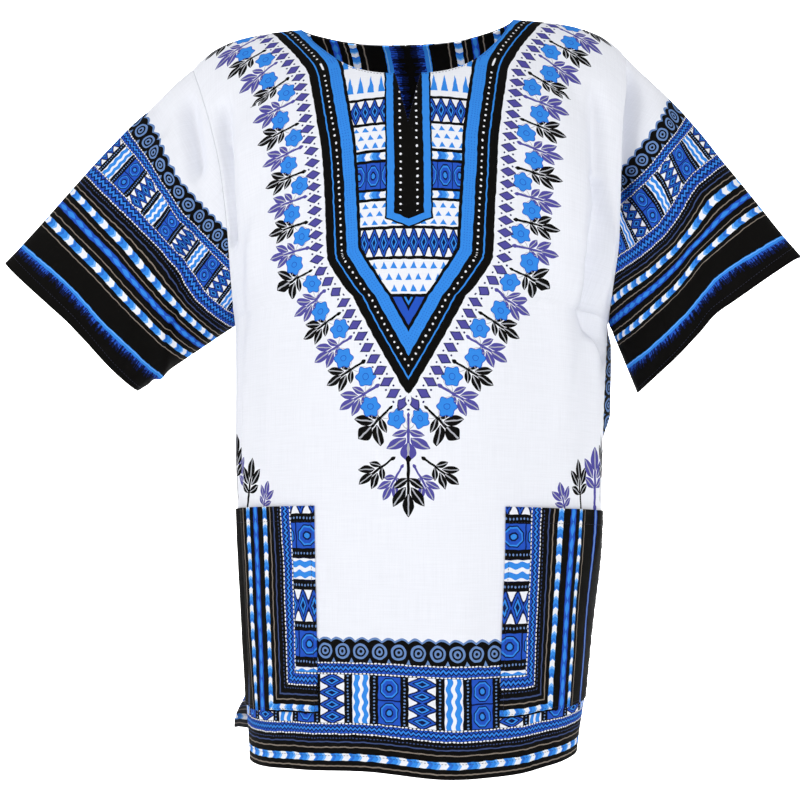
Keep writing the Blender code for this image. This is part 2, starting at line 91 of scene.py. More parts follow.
# Side vents: how far each loose corner stands sideways and forwards at the hem
FRONT_VENT_OUT, FRONT_VENT_FORWARD = -0.003, -0.007
BACK_LEFT_VENT_OUT, BACK_RIGHT_VENT_OUT, BACK_VENT_FORWARD = 0.018, -0.003, 0.005
BACK_LEFT_VENT_LIFT = 0.008
VENT_CORNER = 0.80

# Pockets and the facing inside the back neck
POCKET_TOP = 0.530
POCKET_BOTTOM = 0.722
POCKET_INNER = 0.360
POCKET_OUTER = 0.985
POCKET_MOUTH_EASE = 0.0020
POCKET_EASE_END = 0.5
FACING_SHARE = 0.625   # of the way from the neckline to the first level row

# Sections through the body, by their length below the shoulder seam
Section = namedtuple(
    "Section",
    "down middle_x front_y front_z back_y back_z left_x right_x edge_z turn",
)
SECTIONS = [
    Section(0.000, -0.013, 0.000, 0.000, 0.000, 0.000, -0.229, 0.203, -0.041, 20),
    Section(0.050, -0.010, -0.043, -0.021, 0.047, -0.012, -0.216, 0.204, -0.070, 30),
    Section(0.100, -0.006, -0.081, -0.056, 0.084, -0.046, -0.203, 0.200, -0.106, 42),
    Section(0.160, -0.003, -0.111, -0.108, 0.107, -0.101, -0.191, 0.198, -0.155, 52),
    Section(0.240, 0.000, -0.131, -0.184, 0.121, -0.180, -0.184, 0.196, -0.222, 64),
    Section(0.290, 0.000, -0.137, -0.233, 0.125, -0.230, -0.183, 0.191, -0.263, 76),
    Section(0.335, 0.000, -0.140, -0.278, 0.127, -0.276, -0.184, 0.187, -0.298, 90),
    Section(0.450, 0.000, -0.142, -0.392, 0.130, -0.391, -0.185, 0.182, -0.408, 90),
    Section(0.550, 0.000, -0.141, -0.492, 0.132, -0.490, -0.182, 0.180, -0.505, 90),
    Section(0.660, 0.000, -0.140, -0.604, 0.134, -0.600, -0.177, 0.169, -0.614, 90),
    Section(0.775, 0.000, -0.139, -0.722, 0.136, -0.712, -0.171, 0.159, -0.725, 90),
]

HemPoint = namedtuple("HemPoint", "across front_lift back_lift")
HEM_WAVES = [
    HemPoint(-0.250, -0.004, 0.012),
    HemPoint(-0.190, -0.006, 0.004),
    HemPoint(-0.110, -0.001, -0.003),
    HemPoint(-0.040, 0.003, 0.003),
    HemPoint(0.040, -0.003, -0.002),
    HemPoint(0.100, -0.002, 0.004),
    HemPoint(0.170, 0.003, -0.002),
    HemPoint(0.250, 0.010, 0.002),
]
HEM_WAVES_START = 0.600

# A fold runs straight between two points of the flat cloth and fades at its ends. Depth is
# outwards for a ridge and negative for a trough. The first rows are the large folds of the CAD
# solids, and the rows after them are finer creases.
Fold = namedtuple("Fold", "across_a down_a across_b down_b width depth")
FADE_IN, FADE_OUT = (-0.17, 0.17), (0.83, 1.17)
SEAM_STILL = (0.96, 0.998)
SHOULDER_STILL = 0.030
HEM_FREE = 0.5
FRONT_FOLDS = [
    Fold(-0.186, 0.092, -0.193, 0.178, 0.008, -0.0140),
    Fold(-0.193, 0.178, -0.198, 0.248, 0.007, -0.0120),
    Fold(-0.166, 0.120, -0.168, 0.290, 0.014, 0.0045),
    Fold(-0.160, 0.200, -0.205, 0.345, 0.011, -0.0040),
    Fold(-0.205, 0.345, -0.217, 0.470, 0.010, -0.0032),
    Fold(-0.216, 0.380, -0.206, 0.720, 0.009, -0.0030),
    Fold(-0.190, 0.400, -0.182, 0.700, 0.010, 0.0030),
    Fold(-0.120, 0.560, -0.126, 0.775, 0.018, -0.0035),
    Fold(0.190, 0.120, 0.190, 0.360, 0.015, -0.0040),
    Fold(0.182, 0.090, 0.187, 0.180, 0.008, -0.0085),
    Fold(0.187, 0.180, 0.196, 0.222, 0.008, -0.0140),
    Fold(0.196, 0.222, 0.187, 0.275, 0.011, -0.0140),
    Fold(0.187, 0.275, 0.196, 0.320, 0.014, -0.0160),
    Fold(0.196, 0.320, 0.208, 0.358, 0.013, -0.0150),
    Fold(0.208, 0.358, 0.240, 0.374, 0.008, -0.0080),
    Fold(0.206, 0.330, 0.214, 0.560, 0.012, 0.0040),
    Fold(0.152, 0.140, 0.158, 0.520, 0.018, 0.0050),
    Fold(0.052, 0.600, 0.048, 0.775, 0.020, 0.0035),
    Fold(0.128, 0.520, 0.136, 0.775, 0.018, -0.0040),
    Fold(-0.148, 0.330, -0.152, 0.520, 0.007, 0.0010),
    Fold(0.170, 0.190, 0.166, 0.330, 0.008, 0.0024),
    Fold(0.210, 0.210, 0.212, 0.320, 0.007, 0.0040),
    Fold(0.140, 0.060, 0.178, 0.130, 0.008, -0.0018),
    Fold(-0.140, 0.060, -0.180, 0.140, 0.008, -0.0014),
    Fold(0.178, 0.380, 0.150, 0.470, 0.007, -0.0014),
    Fold(-0.060, 0.440, -0.020, 0.470, 0.010, -0.0006),
]
BACK_FOLDS = [
    Fold(-0.180, 0.100, -0.172, 0.330, 0.016, -0.0070),
    Fold(0.184, 0.120, 0.176, 0.350, 0.014, -0.0060),
    Fold(-0.070, 0.150, -0.050, 0.420, 0.026, -0.0040),
    Fold(0.060, 0.180, 0.084, 0.460, 0.022, -0.0045),
    Fold(-0.150, 0.380, -0.140, 0.775, 0.020, 0.0050),
    Fold(-0.096, 0.450, -0.090, 0.775, 0.018, -0.0050),
    Fold(0.020, 0.400, 0.012, 0.775, 0.024, 0.0050),
    Fold(0.118, 0.420, 0.128, 0.775, 0.020, -0.0050),
    Fold(0.190, 0.460, 0.196, 0.700, 0.014, 0.0040),
    Fold(0.222, 0.345, 0.222, 0.450, 0.016, 0.0100),
    Fold(-0.200, 0.260, -0.150, 0.420, 0.010, 0.0020),
    Fold(0.205, 0.250, 0.160, 0.400, 0.009, 0.0018),
    Fold(-0.030, 0.520, -0.036, 0.700, 0.009, -0.0012),
    Fold(0.066, 0.560, 0.070, 0.775, 0.010, 0.0014),
]

# The cuff of each sleeve: the two ends of its long way, its depth from front to back, where its
# middle lies in Y, and how far the sleeve bows out of a straight run.
Cuff = namedtuple("Cuff", "top_x top_z bottom_x bottom_z depth middle_y bow")
LEFT_CUFF = Cuff(-0.421, -0.236, -0.285, -0.366, 0.084, -0.008, 0.009)
RIGHT_CUFF = Cuff(0.374, -0.235, 0.215, -0.368, 0.080, -0.010, 0.009)
CUFF_POWER = 0.9
SLEEVE_STILL = 0.030

# Folds on a sleeve: "round" is 0 on the top line, 0.25 in the middle of the front, 0.5 below and
# -0.25 at the back. "along" is 0 at the armhole and 1 at the cuff.
SleeveFold = namedtuple("SleeveFold", "round_a along_a round_b along_b width depth")
LEFT_SLEEVE_FOLDS = [
    SleeveFold(0.08, 0.065, 0.23, 0.105, 0.008, -0.0140),
    SleeveFold(0.01, 0.19, 0.10, 0.22, 0.011, -0.0060),
    SleeveFold(0.12, 0.24, 0.30, 0.26, 0.014, 0.0050),
    SleeveFold(0.26, 0.10, 0.42, 0.55, 0.010, -0.0060),
    SleeveFold(0.36, 0.30, 0.46, 0.90, 0.012, 0.0040),
    SleeveFold(-0.30, 0.10, -0.12, 0.20, 0.014, -0.0060),
    SleeveFold(-0.40, 0.15, -0.30, 0.70, 0.014, -0.0060),
    SleeveFold(-0.20, 0.45, -0.18, 1.00, 0.018, 0.0050),
    SleeveFold(0.16, 0.16, 0.26, 0.40, 0.006, -0.0016),
    SleeveFold(0.30, 0.40, 0.36, 0.95, 0.006, -0.0016),
    SleeveFold(0.08, 0.30, 0.10, 0.80, 0.010, -0.0012),
    SleeveFold(0.37, 0.25, 0.46, 1.00, 0.005, -0.0040),
]
RIGHT_SLEEVE_FOLDS = [
    SleeveFold(0.05, 0.025, 0.32, 0.060, 0.010, -0.0210),
    SleeveFold(0.04, 0.09, 0.34, 0.14, 0.012, -0.0060),
    SleeveFold(0.08, 0.24, 0.36, 0.36, 0.016, 0.0100),
    SleeveFold(0.20, 0.50, 0.24, 1.00, 0.016, -0.0040),
    SleeveFold(0.30, 0.55, 0.33, 1.00, 0.014, 0.0045),
    SleeveFold(-0.34, 0.10, -0.10, 0.20, 0.014, -0.0070),
    SleeveFold(-0.38, 0.25, -0.28, 0.80, 0.014, -0.0060),
    SleeveFold(-0.18, 0.40, -0.20, 1.00, 0.018, 0.0050),
    SleeveFold(0.10, 0.40, 0.14, 0.90, 0.010, -0.0016),
    SleeveFold(0.26, 0.26, 0.30, 0.60, 0.006, -0.0018),
]

# How a sleeve's cloth hangs in its folds: at each place round it, and at each height above the
# straight run of its cuff, how many millimetres further up the cloth the print lies. The first row
# is also how far the cuff's edge is drawn in there.
HANG_ROUND = (0.0, 0.1, 0.2, 0.25, 0.3, 0.4, 0.5)
Hang = namedtuple("Hang", "height shift")
LEFT_HANG = [
    Hang(0, (0, -3, -6, -7, -6, -2, 0)),
    Hang(30, (2, -4, -8, -7, -5, -4, -2)),
    Hang(65, (2, -1, -2, -1, 0, 2, 1)),
    Hang(98, (0, -2, -2, 0, 2, 6, 7)),
    Hang(121, (0, -2, -4, -4, -2, 9, 5)),
    Hang(168, (3, 4, 15, 21, 21, 21, 21)),
    Hang(188, (0, 9, 23, 24, 24, 28, 28)),
]
RIGHT_HANG = [
    Hang(0, (0, -5, -9, -11, -7, -2, 0)),
    Hang(32, (2, -5, -11, -7, -2, 1, -2)),
    Hang(60, (4, 0, 1, 8, 12, 13, 8)),
    Hang(86, (6, 5, 14, 18, 18, 14, 12)),
    Hang(106, (4, 3, 17, 22, 22, 17, 15)),
    Hang(164, (9, 18, 28, 28, 28, 28, 28)),
    Hang(184, (5, 22, 34, 40, 40, 40, 40)),
]
DRAWN_IN = (0.3, 1.0)      # from where to where along a sleeve its cuff is drawn in

# Small unevenness of the cloth: how high it stands, over how long a stretch
RIPPLES = [(0.0011, 0.075), (0.00035, 0.028)]
RIPPLE_EDGE = 0.012        # it dies away this near an edge that is sewn to another piece
SEAM_DIP, SEAM_DIP_WIDTH = 0.0002, 0.0026
PUCKER, PUCKER_LENGTH, PUCKER_REACH = 0.0004, 0.013, 0.010
PUCKER_START = 0.002       # puckers grow from nothing on the seam over this distance
PUCKER_DRIFT, DRIFT_LENGTH = 0.4, 0.031  # how unevenly they are spaced
RIPPLE_SEEDS = {"front_panel": 1.5, "back_panel": 7.5, "sleeve_left": 3.5, "sleeve_right": 5.5}

# Where the form is evened out below the arms, by cloth length and by side
SOFT_IN, SOFT_OUT, SOFT_SIDE = (0.170, 0.250), (0.400, 0.490), (0.94, 1.0)
SOFT_PASSES = 260

# Mesh
SIDE_KNOTS = [0.0, SLIT_HALF, POCKET_INNER, NECK_HALF, POCKET_OUTER, 1.0]
FIRST_LEVEL = 0.190
LEVEL_KNOTS = [
    FIRST_LEVEL, UNDERARM, POCKET_TOP, BODY_LENGTH - VENT_LENGTH, POCKET_BOTTOM,
    BODY_LENGTH - HEM_FOLD, BODY_LENGTH,
]
NECK_ROWS = 48
SLEEVE_ROWS = 96
ARC_SAMPLES = 120
CUFF_SAMPLES = 8
SHARP_ANGLE = 50
MITRE_LIMIT = 0.35
LONGEST_FACE = 0.1          # a face longer round than this joins the two ends of a tube's map
CUFF_FOLD_ROWS = 4         # rows of a sleeve's grid that its turned cuff covers

# The neck panel's outline, from the shoulder to its tip, and how softly its corners turn
NeckPoint = namedtuple("NeckPoint", "across down")
NECK_PANEL = [
    NeckPoint(0.142, 0.000),
    NeckPoint(0.096, 0.094),
    NeckPoint(0.084, 0.180),
    NeckPoint(0.076, 0.300),
    NeckPoint(0.000, 0.430),
]
CORNER_SOFTNESS = 0.010
OUTLINE_STEP = 0.0015
OUTLINE_RUN_ON = 3.0       # how far its last stretch runs on past the shoulder
SEED_OUT, DAISY_OUT = 0.0105, 0.0300  # how far outside it the border and the daisies lie


def from_srgb(red, green, blue):
    """A colour as the shader wants it, from its three numbers of 0 to 255."""
    linear = []
    for part in (red, green, blue):
        part = part / 255
        linear.append(part / 12.92 if part <= 0.04045 else ((part + 0.055) / 1.055) ** 2.4)
    return tuple(linear) + (1.0,)


WHITE = from_srgb(237, 239, 246)
BLACK = from_srgb(11, 10, 9)
NAVY = from_srgb(14, 26, 72)
ROYAL = from_srgb(38, 84, 192)
BRIGHT = from_srgb(54, 138, 229)
PALE_BLUE = from_srgb(118, 182, 250)
VIOLET = from_srgb(82, 78, 158)
DIM_VIOLET = from_srgb(50, 52, 100)
STEEL = from_srgb(106, 138, 190)
TAN = from_srgb(132, 122, 112)
DIM_STEEL = from_srgb(62, 78, 122)
GREY = from_srgb(176, 178, 186)
REVERSE = from_srgb(214, 214, 222)


def smooth(knots, values, at):
    """Values through the knots on a curve that never overshoots them."""
    knots, values = np.asarray(knots, float), np.asarray(values, float)
    step = np.diff(knots)
    slope = np.diff(values) / step
    tangent = np.zeros_like(values)
    tangent[0], tangent[-1] = slope[0], slope[-1]
    same = slope[:-1] * slope[1:] > 0
    weight_a, weight_b = 2 * step[1:] + step[:-1], step[1:] + 2 * step[:-1]
    safe_a = np.where(same, slope[:-1], 1.0)
    safe_b = np.where(same, slope[1:], 1.0)
    mean = (weight_a + weight_b) / (weight_a / safe_a + weight_b / safe_b)
    tangent[1:-1] = np.where(same, mean, 0.0)
    at = np.clip(at, knots[0], knots[-1])
    k = np.clip(np.searchsorted(knots, at, side="right") - 1, 0, len(step) - 1)
    t = (at - knots[k]) / step[k]
    rise = step[k]
    return (
        (2 * t**3 - 3 * t**2 + 1) * values[k]
        + (t**3 - 2 * t**2 + t) * rise * tangent[k]
        + (3 * t**2 - 2 * t**3) * values[k + 1]
        + (t**3 - t**2) * rise * tangent[k + 1]
    )


def ramp(value, start, end):
    """0 before start, 1 after end, and an even S between."""
    t = np.clip((value - start) / (end - start), 0.0, 1.0)
    return t * t * (3 - 2 * t)


def subdivide(knots, step):
    """The knots with as many even steps between them as none longer than step needs."""
    values = [knots[0]]
    for a, b in zip(knots, knots[1:]):
        count = max(1, math.ceil((b - a) / step - HAIR))
        values += [a + (b - a) * k / count for k in range(1, count + 1)]
    return values


HALF_COLUMNS = subdivide(SIDE_KNOTS, MESH_STEP / BODY_HALF_WIDTH)
SIDE_COLUMNS = np.array([-s for s in HALF_COLUMNS[:0:-1]] + HALF_COLUMNS)
LEVEL_ROWS = subdivide(LEVEL_KNOTS, MESH_STEP)


def row_of(down):
    """The grid row of a level in LEVEL_KNOTS."""
    return NECK_ROWS + int(np.argmin(np.abs(np.array(LEVEL_ROWS) - down)))


def section_values(front_field, back_field, down):
    """One column of SECTIONS, carried over the shoulder from the back to the front."""
    lower = [s for s in SECTIONS if s.down > 0]
    knots = [-s.down for s in reversed(lower)] + [s.down for s in SECTIONS]
    back = [getattr(s, back_field) for s in reversed(lower)]
    front = [getattr(s, front_field) for s in SECTIONS]
    return smooth(knots, back + front, down)


def edge_weight(side, down):
    """How much of the fall from middle to edge a point has: late at the shoulder, even below."""
    far = np.abs(side)
    shoulder = SOFT_FALL * far**SOFT_POWER + END_FALL * far**END_POWER
    late = 1 - ramp(np.abs(down), 0.0, SHOULDER_ZONE)
    return late * shoulder + (1 - late) * far**2


def armhole_half(down):
    """How far the armhole's edge stands from the shoulder line to the front or back."""
    share = np.clip(np.abs(down) / UNDERARM, 0.0, 1.0)
    above = np.clip(1 - share / HOLE_WIDEST, 0, 1)
    below = np.clip((share - HOLE_WIDEST) / (1 - HOLE_WIDEST), 0, 1)
    upper = (1 - above**HOLE_POWER) ** HOLE_TOP_POWER
    lower = (1 - below**HOLE_POWER) ** HOLE_FOOT_POWER
    return HOLE_HALF * np.where(share < HOLE_WIDEST, upper, lower)


def body_point(side, down):
    """The place and the across length of body points, before folds. Arrays of equal length."""
    middle = np.stack(
        [
            section_values("middle_x", "middle_x", down),
            section_values("front_y", "back_y", down),
            section_values("front_z", "back_z", down),
        ],
        axis=-1,
    )
    edge_x = np.where(
        side < 0,
        section_values("left_x", "left_x", down),
        section_values("right_x", "right_x", down),
    )
    hole_y = -np.sign(down) * armhole_half(down)
    edge_z = section_values("edge_z", "edge_z", down)
    turn = np.radians(section_values("turn", "turn", down))
    share = np.linspace(0.0, 1.0, ARC_SAMPLES)
    angle = turn[:, None] * share
    x = (edge_x - middle[:, 0])[:, None] * np.sin(angle) / np.sin(turn)[:, None]
    y = (hole_y - middle[:, 1])[:, None] * (1 - np.cos(angle)) / (1 - np.cos(turn))[:, None]
    length = np.concatenate(
        [np.zeros((len(side), 1)), np.cumsum(np.hypot(np.diff(x), np.diff(y)), axis=1)], axis=1
    )
    wanted = np.abs(side) * length[:, -1]
    place = np.empty((len(side), 3))
    for k in range(len(side)):
        place[k, 0] = middle[k, 0] + np.interp(wanted[k], length[k], x[k])
        place[k, 1] = middle[k, 1] + np.interp(wanted[k], length[k], y[k])
    place[:, 2] = middle[:, 2] + (edge_z - middle[:, 2]) * edge_weight(side, down)
    near_shoulder = 1 - ramp(np.abs(down), 0.0, RIGHT_LIFT_END)
    place[:, 2] += RIGHT_LIFT * ramp(side, RIGHT_LIFT_START, RIGHT_LIFT_FULL) * near_shoulder
    return place, np.sign(side) * wanted


def fold_height(folds, across, along):
    """Height of all folds at points of the flat cloth."""
    height = np.zeros_like(across)
    for across_a, along_a, across_b, along_b, width, depth in folds:
        run_x, run_y = across_b - across_a, along_b - along_a
        length = np.hypot(run_x, run_y)
        t = ((across - across_a) * run_x + (along - along_a) * run_y) / length**2
        off = ((across - across_a) * run_y - (along - along_a) * run_x) / length
        fade = ramp(t, *FADE_IN) * (1 - ramp(t, *FADE_OUT))
        height += depth * fade * np.exp(-((off / width) ** 2))
    return height


def ripple_height(across, along, seed):
    """The small unevenness of the cloth, without any hard edge."""
    height = np.zeros(across.size)
    for amount, stretch in RIPPLES:
        spots = zip(across.ravel() / stretch, along.ravel() / stretch)
        height += amount * np.array([noise.noise((u, v, seed)) for u, v in spots])
    return height.reshape(across.shape)


def seam_height(distance, along):
    """The dip of a sewn seam with the puckers beside it."""
    dip = -SEAM_DIP * np.exp(-((distance / SEAM_DIP_WIDTH) ** 2))
    drift = PUCKER_DRIFT * np.sin(along / DRIFT_LENGTH)
    wave = np.sin(2 * np.pi * (along / PUCKER_LENGTH + drift))
    fade = np.exp(-((distance / PUCKER_REACH) ** 2)) * (1 - np.exp(-distance / PUCKER_START))
    return dip + PUCKER * wave * fade


def grid_normals(points, closed_round=False):
    """Unit normals of a grid of points, rows by columns, from the points beside each."""
    rows = np.gradient(points, axis=0)
    if closed_round:
        columns = (np.roll(points, -1, axis=1) - np.roll(points, 1, axis=1)) / 2
    else:
        columns = np.gradient(points, axis=1)
    normal = np.cross(rows, columns)
    return normal / np.linalg.norm(normal, axis=-1, keepdims=True)


def neckline(side, front):
    """How far down the neck is cut at each column, 0 where the shoulder seam begins."""
    far = np.clip(np.abs(side) / NECK_HALF, 0.0, 1.0)
    cut = (FRONT_NECK if front else BACK_NECK) * (1 - far**NECK_POWER) ** NECK_ROOT
    if not front:
        return cut
    beside = np.clip(np.abs(side) / SLIT_HALF, 0.0, 1.0)
    return np.where(beside < 1, SLIT_BOTTOM + (cut - SLIT_BOTTOM) * beside, cut)


def panel_grid(front):
    """Side and down of each grid point: upper rows follow the neckline, the rest are level."""
    side = SIDE_COLUMNS
    top = np.maximum(neckline(side, front), SEAM_GAP / 2)
    upper = [top + (FIRST_LEVEL - top) * k / NECK_ROWS for k in range(NECK_ROWS)]
    level = [np.full_like(side, row) for row in LEVEL_ROWS]
    down = np.array(upper + level)
    return np.broadcast_to(side, down.shape).copy(), down if front else -down


def vent_spread(side, down):
    """How far the loose corners at the side vents stand out of the side seam."""
    loose = ramp(np.abs(down), BODY_LENGTH - VENT_LENGTH, BODY_LENGTH)
    corner = loose * ramp(np.abs(side), VENT_CORNER, 1.0)
    front = down > 0
    back_out = np.where(side < 0, BACK_LEFT_VENT_OUT, BACK_RIGHT_VENT_OUT)
    out = np.where(front, FRONT_VENT_OUT, back_out)
    forward = np.where(front, FRONT_VENT_FORWARD, BACK_VENT_FORWARD)
    shift = np.zeros(side.shape + (3,))
    shift[..., 0] = np.sign(side) * out * corner
    shift[..., 1] = forward * corner
    shift[..., 2] = np.where(~front & (side < 0), BACK_LEFT_VENT_LIFT, 0.0) * corner
    return shift


def soften_rows(place, side, depth):
    """Even out the form down each column round the height of the underarm, but not at the seams."""
    soft = place.copy()
    for _ in range(SOFT_PASSES):
        soft[1:-1] = soft[1:-1] / 2 + (soft[:-2] + soft[2:]) / 4
    share = ramp(depth, *SOFT_IN) * (1 - ramp(depth, *SOFT_OUT))
    share *= 1 - ramp(np.abs(side), *SOFT_SIDE)
    return place + (soft - place) * share[..., None]


def panel_surface(front, side, down):
    """The outer surface of the front or back panel with its folds, and its across lengths."""
    place, across = body_point(side.ravel(), down.ravel())
    place, across = place.reshape(side.shape + (3,)), across.reshape(side.shape)
    depth = np.abs(down)
    lift = smooth(
        [h.across for h in HEM_WAVES],
        [h.front_lift if front else h.back_lift for h in HEM_WAVES],
        across,
    )
    place[..., 2] += lift * ramp(depth, HEM_WAVES_START, BODY_LENGTH)
    place = soften_rows(place, side, depth)
    outward = grid_normals(place) * (1 if front else -1)
    loose = ramp(depth, BODY_LENGTH - VENT_LENGTH, BODY_LENGTH)
    seam = 1 - ramp(np.abs(side), *SEAM_STILL) * (1 - HEM_FREE * loose)
    seam = seam * ramp(depth, 0.0, SHOULDER_STILL)
    folds = FRONT_FOLDS if front else BACK_FOLDS
    height = fold_height(folds, across, depth) * seam
    to_edge = (1 - np.abs(side)) * BODY_HALF_WIDTH
    still = ramp(to_edge, 0.0, RIPPLE_EDGE) * ramp(depth, 0.0, RIPPLE_EDGE)
    seed = RIPPLE_SEEDS["front_panel" if front else "back_panel"]
    height += ripple_height(across, depth, seed) * still
    height += seam_height(to_edge, depth) * (1 - loose) * ramp(depth, 0.0, RIPPLE_EDGE)
    place += outward * height[..., None]
    return place + vent_spread(side, down), across


def armhole_ring(left):
    """The armhole seam as a closed ring: down the front from the shoulder, then up the back."""
    upper = [FIRST_LEVEL * k / NECK_ROWS for k in range(NECK_ROWS)]
    down = np.array(upper + LEVEL_ROWS[: row_of(UNDERARM) - NECK_ROWS + 1])
    down = np.concatenate([down, -down[-2:0:-1]])
    side = np.full(len(down), -1.0 if left else 1.0)
    return body_point(side, down)[0]


def cuff_ring(cuff, count, ring_share):
    """The cuff as a flattened ring, its points at the same shares of its length as ring_share."""
    angle = np.linspace(0.0, 2 * np.pi, CUFF_SAMPLES * count + 1)
    top = np.array([cuff.top_x, cuff.middle_y, cuff.top_z])
    bottom = np.array([cuff.bottom_x, cuff.middle_y, cuff.bottom_z])
    half_long, centre = (top - bottom) / 2, (top + bottom) / 2
    thick = np.sign(np.sin(angle)) * np.abs(np.sin(angle)) ** CUFF_POWER * cuff.depth / 2
    loop = centre + np.cos(angle)[:, None] * half_long
    loop[:, 1] -= thick
    length = np.concatenate([[0], np.cumsum(np.linalg.norm(np.diff(loop, axis=0), axis=1))])
    wanted = ring_share * length[-1]
    return np.stack([np.interp(wanted, length, loop[:, k]) for k in range(3)], axis=-1)


def sleeve_surface(left):
    """The outer surface of a sleeve, rows from armhole to cuff by columns round it, and for each
    point its length round from the top line and its distance from the cuff."""
    cuff = LEFT_CUFF if left else RIGHT_CUFF
    ring = armhole_ring(left)
    half = len(ring) // 2
    near = np.linalg.norm(np.roll(ring, -1, axis=0) - ring, axis=1)
    front_part, back_part = np.cumsum(near[:half]), np.cumsum(near[half:])
    share = np.concatenate(
        [[0], front_part / front_part[-1] / 2, 0.5 + back_part[:-1] / back_part[-1] / 2]
    )
    end = cuff_ring(cuff, len(ring), share)
    along = np.linspace(0.0, 1.0, SLEEVE_ROWS + 1)
    run = end - ring
    length = np.linalg.norm(run, axis=1)
    t = np.repeat(along[:, None], len(ring), axis=1)
    place = ring[None] + run[None] * t[..., None]
    outward = grid_normals(place, closed_round=True) * (1 if left else -1)
    round_share = np.where(share > 0.5, share - 1, share)
    upper = np.clip(np.cos(2 * np.pi * round_share), 0.0, 1.0)
    bow = cuff.bow * np.sin(np.pi * t) * (1 - t) * upper[None, :]
    place += outward * bow[..., None]
    girth = np.linalg.norm(np.roll(place, -1, axis=1) - place, axis=-1).sum(axis=1)
    across = round_share[None, :] * girth[:, None]
    folds = LEFT_SLEEVE_FOLDS if left else RIGHT_SLEEVE_FOLDS
    mean_girth, mean_length = girth.mean(), length.mean()
    scaled = [
        (a * mean_girth, b * mean_length, c * mean_girth, d * mean_length, width, depth)
        for a, b, c, d, width, depth in folds
    ]
    height = fold_height(scaled, across, t * mean_length) * ramp(t, 0.0, SLEEVE_STILL)
    from_seam = t * length[None, :]
    from_underseam = np.abs(np.abs(across) - girth[:, None] / 2)
    still = ramp(from_seam, 0.0, RIPPLE_EDGE) * ramp(from_underseam, 0.0, RIPPLE_EDGE)
    seed = RIPPLE_SEEDS["sleeve_left" if left else "sleeve_right"]
    height += ripple_height(across, from_seam, seed) * still
    height += seam_height(from_seam, across)
    place += outward * height[..., None]
    hang = LEFT_HANG if left else RIGHT_HANG
    shift = [smooth(HANG_ROUND, h.shift, np.abs(round_share)) * MM for h in hang]
    drawn = -shift[0] * ramp(t, *DRAWN_IN)
    place -= run / length[:, None] * drawn[..., None]
    from_cuff = (1 - t) * length[None, :] + drawn
    heights = [h.height * MM for h in hang]
    for column in range(len(share)):
        moved = smooth(heights, [row[column] for row in shift], from_cuff[:, column])
        from_cuff[:, column] += moved
    return place, across, from_cuff


def share_wall_direction(outward, one_side, other_side):
    """Mitre the walls of the pieces on both sides of a seam alike, at one point of it."""
    normals = []
    for places in (one_side, other_side):
        total = sum(outward[name][row, column] for name, row, column in places)
        normals.append(total / np.linalg.norm(total))
    common = sum(normals) / np.linalg.norm(sum(normals))
    lean = max(float(common @ normals[0]), MITRE_LIMIT)
    for name, row, column in one_side + other_side:
        outward[name][row, column] = common / lean


def match_walls_at_seams(outward):
    """Shoulder, armhole and side seams, so that the walls on both sides face each other."""
    front, back = "front_panel", "back_panel"
    for column, side in enumerate(SIDE_COLUMNS):
        if NECK_HALF - HAIR <= abs(side) < 1:
            share_wall_direction(outward, [(front, 0, column)], [(back, 0, column)])
    for column, sleeve in ((0, "sleeve_left"), (-1, "sleeve_right")):
        count = outward[sleeve].shape[1]
        for row in range(row_of(UNDERARM) + 1):
            before, after = (sleeve, 0, row), (sleeve, 0, -row % count)
            on_front, on_back = (front, row, column), (back, row, column)
            if before == after:
                share_wall_direction(outward, [on_front, on_back], [before])
            else:
                share_wall_direction(outward, [on_front], [before])
                share_wall_direction(outward, [on_back], [after])
        for row in range(row_of(UNDERARM) + 1, row_of(BODY_LENGTH - VENT_LENGTH) + 1):
            share_wall_direction(outward, [(front, row, column)], [(back, row, column)])


def part_sleeve_from_body(surface, outward):
    """Move a sleeve's first ring off the armhole by the seam gap, square to its mitred wall."""
    wall = outward[0] / np.linalg.norm(outward[0], axis=1, keepdims=True)
    away = surface[3] - surface[0]
    away -= wall * (away * wall).sum(axis=1, keepdims=True)
    surface[0] += SEAM_GAP / 2 * away / np.linalg.norm(away, axis=1, keepdims=True)


def wall_mesh(outer, inner, closed_round=False):
    """Points and faces of a closed wall between two grids of points: the faces of its outer side,
    then of its inner side, then of its rims. Also how many faces the outer side has."""
    rows, columns = outer.shape[:2]
    total = rows * columns
    points = np.concatenate([outer.reshape(-1, 3), inner.reshape(-1, 3)])
    number = np.arange(total).reshape(rows, columns)
    if closed_round:
        number = np.concatenate([number, number[:, :1]], axis=1)
    a, b, c, d = number[:-1, :-1], number[:-1, 1:], number[1:, 1:], number[1:, :-1]
    outside = np.stack([a, d, c, b], axis=-1).reshape(-1, 4)
    inside = np.stack([a, b, c, d], axis=-1).reshape(-1, 4) + total
    edges = [number[0], number[-1, ::-1]]
    if not closed_round:
        edges += [number[::-1, 0], number[:, -1]]
    rims = [np.stack([e[:-1], e[1:], e[1:] + total, e[:-1] + total], axis=-1) for e in edges]
    return points, np.concatenate([outside, inside] + rims).tolist(), len(outside)


